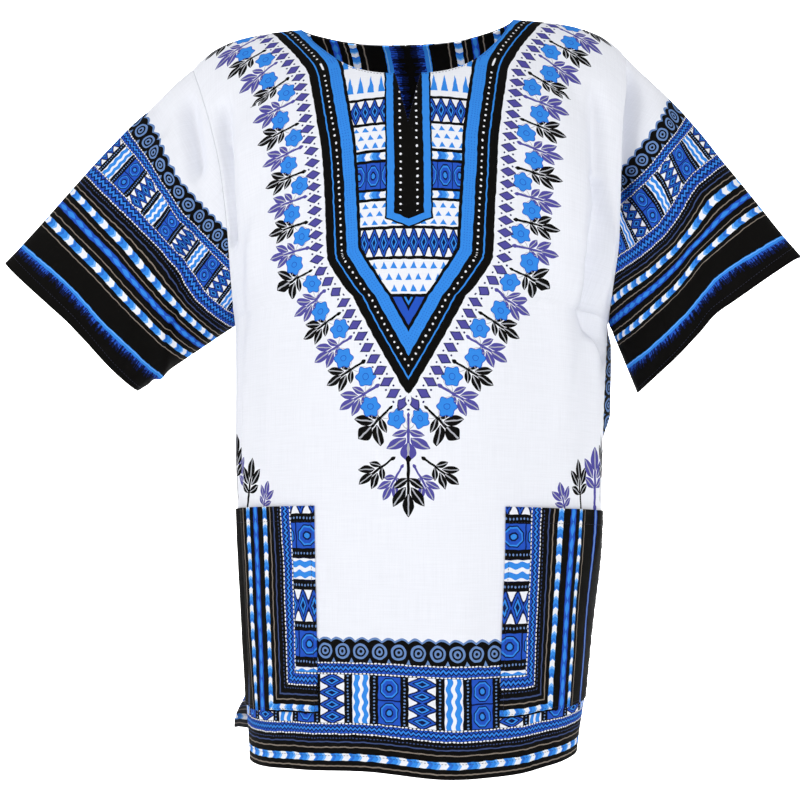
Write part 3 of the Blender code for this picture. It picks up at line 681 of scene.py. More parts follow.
def add_piece(name, outer, inner, materials, maps, closed_round=False):
    """One cloth piece. Its materials are the printed side and, if there is a second one, the
    reverse and the rims. Each map gives two lengths for every point of the outer grid."""
    points, faces, outside = wall_mesh(outer, inner, closed_round)
    mesh = bpy.data.meshes.new(name)
    mesh.from_pydata(points.tolist(), [], faces)
    for made in materials:
        mesh.materials.append(made)
    if len(materials) > 1:
        index = np.zeros(len(faces), np.int32)
        index[outside:] = 1
        mesh.polygons.foreach_set("material_index", index)
    corner = np.empty(len(mesh.loops), np.int64)
    mesh.loops.foreach_get("vertex_index", corner)
    for label, (first, second) in maps.items():
        layer = mesh.uv_layers.new(name=label)
        pair = np.stack([np.tile(first.ravel(), 2), np.tile(second.ravel(), 2)], axis=-1)[corner]
        if closed_round:
            close_map(mesh, pair)
        layer.data.foreach_set("uv", pair.astype(np.float32).ravel())
    work = bmesh.new()
    work.from_mesh(mesh)
    bmesh.ops.recalc_face_normals(work, faces=work.faces)
    work.to_mesh(mesh)
    work.free()
    mesh.shade_smooth()
    mesh.set_sharp_from_angle(angle=math.radians(SHARP_ANGLE))
    piece = bpy.data.objects.new(name, mesh)
    bpy.context.scene.collection.objects.link(piece)
    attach(piece, "root")
    return piece


def close_map(mesh, pair):
    """Where a face of a tube joins the two ends of its round length, keep it on one side."""
    starts = np.empty(len(mesh.polygons), np.int32)
    mesh.polygons.foreach_get("loop_start", starts)
    for start in starts:
        four = pair[start : start + 4, 0]
        jump = four.max() - four.min()
        if jump > LONGEST_FACE:
            pair[start : start + 4, 0] = np.where(four > 0, four - jump, four)


def neck_outline():
    """The neck panel's outline as a soft curve from its tip up to the shoulder, one half."""
    points = np.array([(p.across, p.down) for p in NECK_PANEL])
    length = np.concatenate([[0], np.cumsum(np.linalg.norm(np.diff(points, axis=0), axis=1))])
    at = np.arange(0, length[-1], OUTLINE_STEP)
    half = np.stack([np.interp(at, length, points[:, k]) for k in range(2)], axis=-1)
    whole = np.concatenate([half, half[-2::-1] * (-1, 1)])
    reach = int(CORNER_SOFTNESS / OUTLINE_STEP)
    window = np.hanning(2 * reach + 3)[1:-1]
    window /= window.sum()
    padded = np.concatenate([whole[:1].repeat(reach, 0), whole, whole[-1:].repeat(reach, 0)])
    soft = np.stack([np.convolve(padded[:, k], window, "valid") for k in range(2)], axis=-1)
    return soft[: len(half)][::-1]


def ring_maps(across, depth):
    """Each point's distance out of the neck panel's outline, negative inside it, with its length
    along that outline from the tip. The length is that of a line that runs beside the outline, at
    the distance of the daisies for one map and of the seeds for the other."""
    outline = neck_outline()
    point = np.stack([np.abs(across).ravel(), depth.ravel()], axis=-1)
    start, run = outline[:-1], np.diff(outline, axis=0)
    size = np.linalg.norm(run, axis=1)
    base = np.concatenate([[0], np.cumsum(size)])[:-1]
    best = np.full(len(point), np.inf)
    along = np.zeros(len(point))
    toward = np.zeros((len(point), 2))
    for k in range(len(start)):
        t = ((point - start[k]) @ run[k]) / size[k] ** 2
        t = np.clip(t, 0.0, 1.0 if k < len(start) - 1 else OUTLINE_RUN_ON / size[k])
        offset = point - start[k] - t[:, None] * run[k]
        away = np.linalg.norm(offset, axis=1)
        closer = away < best
        best[closer] = away[closer]
        toward[closer] = offset[closer]
        along[closer] = base[k] + t[closer] * size[k]
    order = np.argsort(outline[:, 1])
    edge = np.interp(point[:, 1], outline[order, 1], outline[order, 0], right=-1.0)
    sign = np.where(point[:, 0] < edge, -1.0, 1.0)
    turned = np.arctan2(toward[:, 0] * sign, toward[:, 1] * sign)
    turned = np.clip(turned, 0.0, math.pi / 2)
    out = (best * sign).reshape(across.shape)
    return {
        label: ((along + radius * turned).reshape(across.shape), out)
        for label, radius in (("ring", DAISY_OUT), ("seeds", SEED_OUT))
    }


class Value:
    """A number or colour over the surface, as the output of a shader node."""

    def __init__(self, tree, socket):
        self.tree = tree
        self.socket = socket

    def compute(self, operation, *others):
        values = dict(enumerate((self,) + others))
        return output_of(self.tree, "ShaderNodeMath", values, operation=operation)

    __add__ = partialmethod(compute, "ADD")
    __sub__ = partialmethod(compute, "SUBTRACT")
    __mul__ = partialmethod(compute, "MULTIPLY")
    __truediv__ = partialmethod(compute, "DIVIDE")
    __abs__ = partialmethod(compute, "ABSOLUTE")
    over = partialmethod(compute, "GREATER_THAN")
    under = partialmethod(compute, "LESS_THAN")
    either = partialmethod(compute, "MAXIMUM")
    fract = partialmethod(compute, "FRACT")
    floor = partialmethod(compute, "FLOOR")
    sine = partialmethod(compute, "SINE")

    def between(self, low, high):
        return self.over(low) * self.under(high)

    def centred(self):
        """-1 to 1 over each whole step."""
        return (self.fract() - 0.5) * 2


def plug(tree, value, socket):
    """Link a value to a socket, or set the socket to a plain number or colour."""
    if isinstance(value, Value):
        tree.links.new(value.socket, socket)
    else:
        socket.default_value = value


def add_node(tree, kind, inputs=(), **settings):
    """A new node with its settings, and its inputs as values or plain numbers and colours."""
    node = tree.nodes.new(kind)
    for name, setting in settings.items():
        setattr(node, name, setting)
    for key, value in dict(inputs).items():
        plug(tree, value, node.inputs[key])
    return node


def output_of(tree, kind, inputs=(), output=0, **settings):
    """One output of a new node, as a value."""
    return Value(tree, add_node(tree, kind, inputs, **settings).outputs[output])


def size_of(x, y):
    return (x * x + y * y).compute("SQRT")


def repeated(length, pitch, shift=0.0):
    """The length from the middle between two marks, when marks lie a pitch apart."""
    return (length / pitch + shift).centred() * (pitch / 2)


def every_other(count):
    """0 over the even steps of a count and 1 over the odd ones."""
    return (count.floor() / 2).fract().over(0.25)


def paint(under, colour, mask, blend="MIX"):
    """The colour laid over what is under it, where the mask is 1."""
    sockets = {0: mask, 6: under, 7: colour}
    return output_of(mask.tree, "ShaderNodeMix", sockets, 2, data_type="RGBA", blend_type=blend)


def paint_inside(colour, value, *steps):
    """Colours laid one inside another, each where the value is under its limit."""
    for inner, limit in steps:
        colour = paint(colour, inner, value.under(limit))
    return colour


def floats(*labels):
    return [(label, "NodeSocketFloat") for label in labels]


COLOUR = [("Colour", "NodeSocketColor")]


def add_sockets(tree, direction, sockets):
    for label, kind in sockets:
        tree.interface.new_socket(name=label, in_out=direction, socket_type=kind)


def group(name, lengths, outputs, draw):
    """A node group with named number inputs and named outputs, drawn by a function."""
    tree = bpy.data.node_groups.new(name, "ShaderNodeTree")
    add_sockets(tree, "INPUT", floats(*lengths))
    add_sockets(tree, "OUTPUT", outputs)
    begin = add_node(tree, "NodeGroupInput")
    made = draw(*(Value(tree, begin.outputs[label]) for label in lengths))
    made = made if isinstance(made, tuple) else (made,)
    add_node(tree, "NodeGroupOutput", {label: value for value, (label, _) in zip(made, outputs)})
    return tree


def use(made, *values):
    """The outputs of a node group in the tree of the first value."""
    tree = values[0].tree
    node = add_node(tree, "ShaderNodeGroup", dict(enumerate(values)), node_tree=made)
    got = [Value(tree, socket) for socket in node.outputs]
    return got[0] if len(got) == 1 else got


# Patterns of a band: "a" counts repeats along it and "v" is 0 at its lower edge and 1 at its upper.
# Plain numbers in them are shares of a repeat or of the band's width.


def draw_arrows(a, v):
    bend = abs(v - 0.5) * 0.26
    step = (a + bend).fract()
    colour = paint_inside(WHITE, step, (PALE_BLUE, 0.64), (BRIGHT, 0.50))
    return paint(colour, ROYAL, step.between(0.08, 0.22) * 0.6)


def draw_waves(a, v):
    swell = abs((a * math.pi).sine()) * 0.28
    off = abs(v - 0.5)
    colour = paint(ROYAL, BRIGHT, (off - swell).under(0))
    return paint(colour, NAVY, off.over(0.42))


def draw_zigzag(a, v):
    slant = abs(a.centred()) * 0.30
    colour = paint(ROYAL, BRIGHT, (v - slant).between(0.28, 0.48))
    for low in (0.06, 0.52):
        colour = paint(colour, NAVY, (v - slant).between(low, low + 0.19))
    return colour


def draw_dots(a, v):
    return paint(BLACK, WHITE, size_of(a.centred(), (v - 0.5) * 2).under(0.74))


def draw_dim_dots(a, v):
    return paint(BLACK, DIM_STEEL, size_of(a.centred(), (v - 0.5) * 2).under(0.60))


def draw_feather(a, v):
    """Blue with an even upper edge, and threads of uneven length below it."""
    kind, thread = "ShaderNodeTexWhiteNoise", {"W": a.floor()}
    above = v - output_of(a.tree, kind, thread, "Value", noise_dimensions="1D") * 0.50
    colour = paint(BLACK, NAVY, above.over(0.06))
    colour = paint(colour, ROYAL, above.over(0.36))
    colour = paint(colour, BRIGHT, v.over(0.72))
    return paint(colour, PALE_BLUE, v.between(0.90, 0.95))


def draw_lozenge_stack(x, y):
    """x is -1 to 1 over a block, and y counts lozenges up it."""
    ring = abs(x) * 1.04 + abs(y.centred())
    steps = (NAVY, 1.30), (ROYAL, 1.04), (NAVY, 0.78), (BRIGHT, 0.60), (NAVY, 0.34)
    colour = paint_inside(WHITE, ring, *steps)
    return paint(colour, NAVY, abs(x).under(0.38) * ring.over(1.1))


def draw_octagons(x, y):
    """Nested octagons on royal blue. y counts them up the block."""
    up = y.centred()
    ring = abs(x).either(abs(up)).either((abs(x) + abs(up)) * 0.72)
    steps = (NAVY, 0.84), (BRIGHT, 0.74), (ROYAL, 0.62), (NAVY, 0.36), (BRIGHT, 0.22)
    colour = paint_inside(ROYAL, ring, *steps)
    return paint(colour, NAVY, abs(up).over(0.94))


def draw_ripples(x, y):
    """Upright wavy blue stripes on white. y counts waves up the block."""
    shift = (y * (2 * math.pi)).sine() * 0.10
    first = abs(x + shift - 0.46).under(0.27)
    second = abs(x + shift + 0.46).under(0.27)
    colour = paint(WHITE, BRIGHT, first.either(second))
    return paint(colour, NAVY, abs(x).over(0.93))


def draw_triangles(a, v):
    """Three rows of small blue triangles on white."""
    row = v * 3
    inside = (abs((a + row.floor() * 0.5).centred()) - (row.fract() - 0.18) * 1.1).under(0)
    return paint(WHITE, BRIGHT, inside * row.fract().between(0.18, 0.80))


BLOCK = ["Across Block", "Up Block"]
BAND = ["Repeats Along", "Share Up"]
LOZENGES = group("lozenge_stack", BLOCK, COLOUR, draw_lozenge_stack)
OCTAGONS = group("octagon_stack", BLOCK, COLOUR, draw_octagons)
RIPPLE_BLOCK = group("ripple_block", BLOCK, COLOUR, draw_ripples)
DOTS = group("white_dots", BAND, COLOUR, draw_dots)
DIM_DOTS = group("dim_dots", BAND, COLOUR, draw_dim_dots)

# One repeat of the block band, in heights of the band: what each block holds and how wide it is
Block = namedtuple("Block", "kind width repeats_up")
BLOCKS = [
    Block("lozenges", 0.56, 4), Block("bar", 0.17, 0), Block("ripples", 0.40, 4),
    Block("bar", 0.17, 0), Block("octagons", 0.46, 2), Block("bar", 0.17, 0),
]
BLOCK_KINDS = {"lozenges": LOZENGES, "octagons": OCTAGONS, "ripples": RIPPLE_BLOCK}
BAR_DOTS_UP, BAR_DOT_SHAPE = 14, 1.9


def draw_blocks(a, v):
    """Blocks side by side. Both lengths are in heights of the band."""
    period = sum(b.width for b in BLOCKS)
    place = (a / period).fract() * period
    colour = BLACK
    start = 0.0
    for block in BLOCKS:
        within = place.between(start, start + block.width)
        x = (place - start - block.width / 2) / (block.width / 2)
        if block.kind == "bar":
            dot = size_of(x * BAR_DOT_SHAPE, (v * BAR_DOTS_UP).centred())
            drawn = paint(BLACK, STEEL, dot.under(0.50))
        else:
            drawn = use(BLOCK_KINDS[block.kind], x, v * block.repeats_up)
        colour = paint(colour, drawn, within)
        start += block.width
    return colour


PATTERNS = {
    "arrows": group("arrow_stripe", BAND, COLOUR, draw_arrows),
    "waves": group("wavy_stripe", BAND, COLOUR, draw_waves),
    "zigzag": group("zigzag_stripe", BAND, COLOUR, draw_zigzag),
    "dots": DOTS,
    "dim dots": DIM_DOTS,
    "feather": group("feathered_edge", BAND, COLOUR, draw_feather),
    "blocks": group("block_band", BAND, COLOUR, draw_blocks),
    "triangles": group("triangle_rows", BAND, COLOUR, draw_triangles),
    "lozenges": group("lozenge_row", BAND, COLOUR, lambda a, v: draw_lozenge_stack(v.centred(), a)),
    "ripples": group("ripple_row", BAND, COLOUR, lambda a, v: draw_ripples(v.centred(), a)),
    "octagons": group("octagon_row", BAND, COLOUR, lambda a, v: draw_octagons(v.centred(), a)),
}
PLAIN = {
    "tan": TAN, "steel": STEEL, "dim steel": DIM_STEEL, "royal": ROYAL, "bright": BRIGHT
}

# Bands in millimetres from the hem, cuff or inner border, and the length of one repeat
Band = namedtuple("Band", "start end kind pitch")
BODY_BANDS = [
    Band(4.0, 5.2, "tan", 0), Band(9.4, 15.9, "arrows", 18.5), Band(21.2, 22.3, "tan", 0),
    Band(26.0, 27.2, "dim steel", 0), Band(29.3, 31.0, "dim dots", 3.4),
    Band(33.0, 34.8, "dots", 3.6), Band(34.8, 42.7, "zigzag", 4.6), Band(42.7, 44.4, "dots", 3.6),
    Band(44.4, 89.2, "blocks", 44.8), Band(89.2, 91.0, "dots", 3.6),
    Band(91.0, 99.0, "zigzag", 4.6), Band(99.0, 100.8, "dots", 3.6),
]
SLEEVE_BANDS = [
    Band(14.0, 28.0, "feather", 0.9), Band(55.3, 56.4, "tan", 0),
    Band(61.2, 68.6, "arrows", 21.0), Band(73.4, 74.4, "tan", 0), Band(80.0, 87.4, "waves", 15.0),
    Band(90.8, 91.8, "tan", 0), Band(96.8, 103.4, "arrows", 20.0), Band(107.0, 108.0, "tan", 0),
    Band(112.0, 113.2, "dim steel", 0), Band(116.2, 118.0, "dim dots", 3.6),
    Band(120.0, 121.9, "dots", 3.8), Band(121.9, 134.4, "zigzag", 6.4),
    Band(134.4, 136.3, "dots", 3.8), Band(136.3, 175.0, "blocks", 38.7),
    Band(175.0, 176.9, "dots", 3.8), Band(176.9, 185.4, "zigzag", 5.4),
    Band(185.4, 187.3, "dots", 3.8),
]
POCKET_MOTIF = 0.0264      # width of the block column beside the pocket's inner edge
POCKET_MOTIF_FOOT = 0.038  # and how far above the pocket's bottom it ends
POCKET_BANDS = [
    Band(0.0, 1.9, "dots", 3.8), Band(1.9, 11.2, "zigzag", 5.2), Band(11.2, 13.0, "dots", 3.8),
    Band(14.8, 16.5, "dim dots", 3.6), Band(20.4, 21.8, "dim steel", 0), Band(25.4, 26.6, "tan", 0),
    Band(30.8, 36.2, "arrows", 16.5), Band(43.8, 52.2, "waves", 15.0),
    Band(57.4, 62.0, "arrows", 16.5), Band(66.0, 67.0, "tan", 0), Band(84.4, 88.4, "royal", 0),
    Band(85.4, 87.4, "steel", 0),
]
FACING_BANDS = [
    Band(1.5, 23.5, "feather", 0.9), Band(43.0, 44.4, "tan", 0), Band(50.0, 57.6, "arrows", 15.0),
    Band(61.0, 62.2, "tan", 0), Band(67.5, 75.4, "waves", 17.0), Band(80.0, 81.2, "tan", 0),
    Band(92.0, 99.0, "arrows", 15.0), Band(104.0, 118.0, "zigzag", 6.4),
]
NECK_ROWS_PRINT = [
    Band(40.0, 138.0, "triangles", 10.0), Band(141.0, 166.0, "lozenges", 9.0),
    Band(169.0, 193.0, "triangles", 9.0), Band(196.0, 203.0, "arrows", 14.0),
    Band(206.0, 232.0, "octagons", 13.4), Band(235.0, 242.0, "arrows", 14.0),
    Band(245.0, 270.0, "triangles", 9.0), Band(273.0, 299.0, "lozenges", 9.0),
    Band(302.0, 334.0, "triangles", 9.0),
]
TIP_BANDS = [
    Band(33.5, 40.5, "royal", 0), Band(43.0, 45.0, "bright", 0), Band(48.0, 52.0, "waves", 9.0),
    Band(55.0, 62.0, "royal", 0),
]
TIP_START = 0.337
SCALLOP_HEIGHT, SCALLOP_DEPTH, SCALLOP_PITCH, SCALLOP_EDGE = 0.0205, 0.0030, 0.0125, 0.0021
RING_PITCH, RING_RADIUS, RING_LINE = 0.0180, 0.0062, 0.0011
INNER_RADIUS, INNER_LINE = 0.0024, 0.0009
SPIKE_HALF, SPIKE_SLOPE = 0.0022, 0.5


def stack(bands, distance, along, colour=BLACK):
    """The colours of a stack of bands, by the distance from its edge and the length along it."""
    for band in bands:
        start, end = band.start * MM, band.end * MM
        if band.kind in PLAIN:
            drawn = PLAIN[band.kind]
        else:
            drawn = use(
                PATTERNS[band.kind], along / (band.pitch * MM), (distance - start) / (end - start)
            )
        colour = paint(colour, drawn, distance.between(start, end))
    return colour


def draw_scallops(along, up):
    """A dark band with a scalloped upper edge and plain rings. Up is from the band's foot."""
    bow = abs((along * (math.pi / SCALLOP_PITCH)).sine()) * SCALLOP_DEPTH
    top = up - bow
    radius = size_of(repeated(along, RING_PITCH), up - SCALLOP_HEIGHT / 2)
    colour = paint(NAVY, BLACK, top.under(SCALLOP_HEIGHT - SCALLOP_EDGE))
    colour = paint(colour, STEEL, top.between(SCALLOP_HEIGHT - SCALLOP_EDGE, SCALLOP_HEIGHT))
    for size, line in ((RING_RADIUS, RING_LINE), (INNER_RADIUS, INNER_LINE)):
        colour = paint(colour, STEEL, abs(radius - size).under(line))
    spike = repeated(along, RING_PITCH, 0.5)
    colour = paint(colour, STEEL, (abs(spike) + up * SPIKE_SLOPE).under(SPIKE_HALF))
    return colour, up.over(0) * top.under(SCALLOP_HEIGHT)


SCALLOPS = group("scalloped_band", ["Along", "Up"], COLOUR + floats("Mask"), draw_scallops)


# A sprig stands on y = 0 and grows along +y: pairs of leaves beside a stem, and one at its end
Leaf = namedtuple("Leaf", "out up tilt length width")
SPRIG_FOOT = Leaf(0.0, 0.0015, 0.0, 0.0060, 0.0036)
SPRIG_LEAVES = [
    Leaf(0.0, 0.0350, 0.0, 0.0180, 0.0084),
    Leaf(0.0068, 0.0290, 0.60, 0.0172, 0.0078),
    Leaf(0.0058, 0.0190, 0.95, 0.0130, 0.0062),
]
SPRIG_STEM, SPRIG_STEM_HALF = 0.032, 0.0011


def tilted(x, y, tilt):
    """The two lengths in a frame whose second direction leans over by the tilt."""
    cosine, sine = math.cos(tilt), math.sin(tilt)
    return x * cosine - y * sine, x * sine + y * cosine


def leaf(x, y, item):
    """A pointed leaf: its value is below 1 inside it. Also the share across it."""
    across, along = tilted(x - item.out, y - item.up, item.tilt)
    along = along / (item.length / 2)
    across = abs(across / (item.width / 2))
    return across + along * along, across


def draw_sprig(x, y):
    """The masks of a sprig's dark shape and of the light veins in it."""
    far = abs(x)
    stem = far.under(SPRIG_STEM_HALF) * y.between(0.0, SPRIG_STEM)
    foot, _ = leaf(far, y, SPRIG_FOOT)
    shape = stem.either(foot.under(1))
    veins = far * 0
    for item in SPRIG_LEAVES:
        value, across = leaf(far, y, item)
        shape = shape.either(value.under(1))
        veins = veins.either(value.under(0.80) * across.under(0.13))
    return shape, veins


SPRIG = group("leaf_sprig", ["X", "Y"], floats("Shape", "Vein"), draw_sprig)


def paint_sprig(colour, x, y, tint, scale=1.0):
    shape, vein = use(SPRIG, x / scale, y / scale)
    return paint(paint(colour, tint, shape), GREY, vein)


RING_WIDTH = 0.066
SEED_PITCH, SEED_HALF_WIDTH, SEED_HALF_HEIGHT = 0.0125, 0.0050, 0.0080
SEED_DOT_OUT, SEED_DOT = 0.0042, 0.0010
DAISY_PITCH, DAISY_STAGGER, DAISY_RADIUS = 0.0265, 0.0050, 0.0091
DAISY_EDGE, PETALS, PETAL_DEPTH, DAISY_EYE = 0.0008, 6, 0.0011, (0.0024, 0.0030)
DAISY_LEAVES = [Leaf(0.0080, 0.0, 0.5, 0.0180, 0.0056), Leaf(0.0080, 0.0, -2.6, 0.0180, 0.0056)]
SPRIG_OUT = 0.0185


def draw_ring(along, out, seed_along):
    """A border of lozenges and dots, then sprigs with daisies that step in and out between."""
    step = along / DAISY_PITCH
    tint = paint(VIOLET, BLACK, every_other(step + 0.5))
    colour = paint_sprig(WHITE, repeated(along, DAISY_PITCH, 0.5), out - SPRIG_OUT, tint)
    x = repeated(along, DAISY_PITCH)
    y = out - DAISY_OUT - (every_other(step) * 2 - 1) * DAISY_STAGGER
    for item in DAISY_LEAVES:
        shape, _ = leaf(abs(x), y, item)
        colour = paint(colour, GREY, shape.between(0.84, 1.0))
    radius = size_of(x, y)
    petals = (y.compute("ARCTAN2", x) * PETALS).compute("COSINE") * PETAL_DEPTH
    steps = (ROYAL, DAISY_RADIUS), (BRIGHT, DAISY_RADIUS - DAISY_EDGE)
    colour = paint_inside(colour, radius - petals, *steps)
    colour = paint(colour, ROYAL, radius.between(*DAISY_EYE))
    x = repeated(seed_along, SEED_PITCH)
    seed = abs(x) / SEED_HALF_WIDTH + abs(out - SEED_OUT) / SEED_HALF_HEIGHT
    colour = paint_inside(colour, seed, (DIM_VIOLET, 1.0), (VIOLET, 0.76))
    x = repeated(seed_along, SEED_PITCH, 0.5)
    for place in (-SEED_DOT_OUT, SEED_DOT_OUT):
        colour = paint(colour, DIM_VIOLET, size_of(x, out - SEED_OUT - place).under(SEED_DOT))
    return colour, out.between(0.0, RING_WIDTH)


NECK_RING = group("neck_ring", ["Along", "Out", "Seeds Along"], COLOUR + floats("Mask"), draw_ring)

PLACKET_HALF, PLACKET_FOOT, PLACKET_SLOPE = 0.0125, 0.262, 0.45
PLACKET_BAND, PLACKET_EDGE = (0.0012, 0.0078), 0.0016
DOT_PITCH, DOT_SHARE, DOT_RADIUS, DOT_INSIDE = 0.0072, 0.62, 0.0011, -0.003
EDGE_WIDTH, EDGE_LINE, EDGE_BAND = 0.0335, (0.0080, 0.0094), (0.0195, 0.0305)
EDGE_DOT_PITCH, EDGE_DOT_IN, EDGE_DOT = 0.0064, 0.0146, 0.0010
FLECK_PITCH, FLECK, FLECK_BAND, FLECK_STRENGTH = 0.0026, 0.42, (0.0205, 0.0295), 0.55


def draw_neck_panel(across, down, along, inward):
    """The neck panel: nested bands, rows of common motifs, and a dark placket round the slit."""
    far = abs(across)
    colour = stack(NECK_ROWS_PRINT, down, far)
    tip = stack(TIP_BANDS, inward, along)
    colour = paint(colour, tip, down.over(TIP_START))
    slant = (far * PLACKET_SLOPE + down - PLACKET_FOOT) * (1 / math.hypot(1, PLACKET_SLOPE))
    off = (far - PLACKET_HALF).either(slant)
    colour = paint(colour, BLACK, off.under(PLACKET_BAND[1] + PLACKET_EDGE))
    colour = paint(colour, BRIGHT, off.between(*PLACKET_BAND))
    dots = size_of(far - PLACKET_HALF * DOT_SHARE, repeated(down, DOT_PITCH))
    colour = paint(colour, WHITE, dots.under(DOT_RADIUS) * off.under(DOT_INSIDE))
    border = paint(BLACK, BRIGHT, inward.between(*EDGE_LINE))
    dots = size_of(repeated(along, EDGE_DOT_PITCH), inward - EDGE_DOT_IN)
    border = paint(border, WHITE, dots.under(EDGE_DOT))
    border = paint(border, BRIGHT, inward.between(*EDGE_BAND))
    fleck = size_of((along / FLECK_PITCH).centred(), (inward / FLECK_PITCH).centred())
    inside = inward.between(*FLECK_BAND) * FLECK_STRENGTH
    border = paint(border, ROYAL, fleck.under(FLECK) * inside)
    return paint(colour, border, inward.under(EDGE_WIDTH))


NECK_PRINT = group(
    "neck_panel", ["Across", "Down", "Along Outline", "Inward"], COLOUR, draw_neck_panel
)

# Sprigs above the pockets and below the neck panel's tip: where each stands, how it leans and how
# large it is
Sprig = namedtuple("Sprig", "across down tilt scale dark")
CORNER_SPRIGS = [
    Sprig(0.160, 0.541, -0.30, 0.85, False),
    Sprig(0.183, 0.534, -0.16, 1.20, True),
    Sprig(0.206, 0.530, -0.05, 1.40, False),
    Sprig(0.228, 0.520, 0.00, 1.50, True),
]
TIP_SPRIGS = [
    Sprig(0.013, 0.486, 2.20, 0.95, True),
    Sprig(0.005, 0.493, 2.62, 0.85, False),
    Sprig(0.000, 0.486, math.pi, 1.25, True),
]


def place_sprigs(colour, far, down, sprigs):
    for item in sprigs:
        x, y = tilted(far - item.across, (down - item.down) * -1, item.tilt)
        colour = paint_sprig(colour, x, y, BLACK if item.dark else VIOLET, item.scale)
    return colour


def noise_over(x, y, scale, detail, output=0):
    """A noise over two lengths, as a number or as a colour."""
    place = output_of(x.tree, "ShaderNodeCombineXYZ", {0: x, 1: y})
    sockets = {"Vector": place, "Scale": scale, "Detail": detail}
    return output_of(x.tree, "ShaderNodeTexNoise", sockets, output, noise_dimensions="2D")


THREAD_PITCH = 0.00075
SLUB_ACROSS, SLUB_ALONG, SLUB_HEIGHT = 900, 28, 1.6  # uneven threads, by the metre
SLUB_CONTRAST = 0.036
WAVER_SCALE, WAVER = 150.0, 0.0011
WEAVE_STRENGTH, WEAVE_DISTANCE = 0.35, 0.00012
ROUGH, ROUGH_CHANGE, SHEEN = 0.82, 0.10, 0.06
TWIST_SCALE = 1800.0


def draw_weave(x, y):
    """The height of a plain weave with uneven threads, and how light each thread is."""
    weave = x * 0
    slub = x * 0
    turn = 2 * math.pi / THREAD_PITCH
    for fine, coarse, shift in ((x, y, 0.0), (y, x, 7.3)):
        weave = weave + (fine * turn).sine() * (coarse * (turn / 2)).sine() * 0.5
        uneven = noise_over(fine * SLUB_ACROSS + shift, coarse * SLUB_ALONG, 1.0, 2.0)
        slub = slub + (uneven - 0.5)
    return weave + slub * SLUB_HEIGHT, slub


def draw_waver(x, y):
    """The two lengths with the small waver of a print made by hand."""
    uneven = noise_over(x, y, WAVER_SCALE, 0.0, "Color")
    split = add_node(x.tree, "ShaderNodeSeparateColor", {0: uneven})
    pairs = zip((x, y), split.outputs)
    return tuple(value + (Value(x.tree, change) - 0.5) * WAVER for value, change in pairs)


WEAVE = group("plain_weave", ["X", "Y"], floats("Height", "Slub"), draw_weave)
PRINT_WAVER = group("print_waver", ["X", "Y"], floats("X", "Y"), draw_waver)


def map_values(tree, label):
    """The two lengths of one UV map."""
    place = output_of(tree, "ShaderNodeUVMap", uv_map=label)
    split = add_node(tree, "ShaderNodeSeparateXYZ", {0: place})
    return Value(tree, split.outputs[0]), Value(tree, split.outputs[1])


def new_material(name, draw):
    """A material whose surface has the inputs that a function gives for its tree."""
    made = bpy.data.materials.new(name)
    made.use_nodes = True
    shader = made.node_tree.nodes["Principled BSDF"]
    for label, value in draw(made.node_tree).items():
        plug(made.node_tree, value, shader.inputs[label])
    return made


def cloth_material(name, draw, fade=0.0, painted_light_gain=1.0):
    """Cotton with its print. Fade pales it, as on the reverse. Gain brightens it as painted light.
    """

    def surface_of(tree):
        x, y = map_values(tree, "flat")
        colour = draw(*use(PRINT_WAVER, x, y))
        if fade:
            colour = paint(colour, REVERSE, x * 0 + fade)
        # Painted light: the colours are brightened to lift a piece that lies in shade.
        if painted_light_gain != 1.0:
            sockets = {"Color": colour, "Value": painted_light_gain}
            colour = output_of(tree, "ShaderNodeHueSaturation", sockets)
        height, slub = use(WEAVE, x, y)
        light = slub * (SLUB_CONTRAST * 2) + (1 - SLUB_CONTRAST)
        grey = output_of(tree, "ShaderNodeCombineColor", {0: light, 1: light, 2: light})
        sockets = {"Strength": WEAVE_STRENGTH, "Distance": WEAVE_DISTANCE, "Height": height}
        return {
            "Base Color": paint(colour, grey, x * 0 + 1, "MULTIPLY"),
            "Normal": output_of(tree, "ShaderNodeBump", sockets),
            "Roughness": slub * ROUGH_CHANGE + ROUGH,
            "Specular IOR Level": SHEEN,
        }

    return new_material(name, surface_of)


# Where the borders of the print end, as lengths of cloth
BODY_BORDER = BODY_BANDS[-1].end * MM
SLEEVE_BORDER = SLEEVE_BANDS[-1].end * MM
BACK_SIDE_BORDER, BACK_SIDE_TOP = 0.2445, 0.343
BACK_SIDE_BANDS = POCKET_BANDS[3:8]
POCKET_BLOCK, POCKET_BLOCK_UP, POCKET_BLOCK_IN = 0.052, 0.3, 0.1
FACING_MIDDLE = 0.0077


def body_print(across, down, corner_sprigs=CORNER_SPRIGS):
    far = abs(across)
    along, out = use(PRINT_WAVER, *map_values(across.tree, "ring"))
    seed_along, _ = map_values(across.tree, "seeds")
    colour = place_sprigs(WHITE, far, down, corner_sprigs)
    ring, mask = use(NECK_RING, along, out, seed_along)
    colour = place_sprigs(paint(colour, ring, mask), far, down, TIP_SPRIGS)
    neck = use(NECK_PRINT, across, down, along, out * -1)
    colour = paint(colour, neck, out.under(0))
    from_hem = (down - BODY_LENGTH) * -1
    scallops, mask = use(SCALLOPS, across, from_hem - BODY_BORDER)
    colour = paint(colour, scallops, mask)
    border = stack(BODY_BANDS, from_hem, across)
    return paint(colour, border, from_hem.under(BODY_BORDER))


def back_print(across, down):
    """As the front without the sprigs over the pockets, and a scalloped border down each side."""
    colour = body_print(across, down, corner_sprigs=[])
    inward = (abs(across) - BACK_SIDE_BORDER) * -1
    scallops, mask = use(SCALLOPS, down, inward)
    above_hem = down.between(BACK_SIDE_TOP, BODY_LENGTH - BODY_BORDER)
    colour = paint(colour, scallops, mask * above_hem)
    return paint(colour, stack(BACK_SIDE_BANDS, inward * -1, down), inward.under(0) * above_hem)


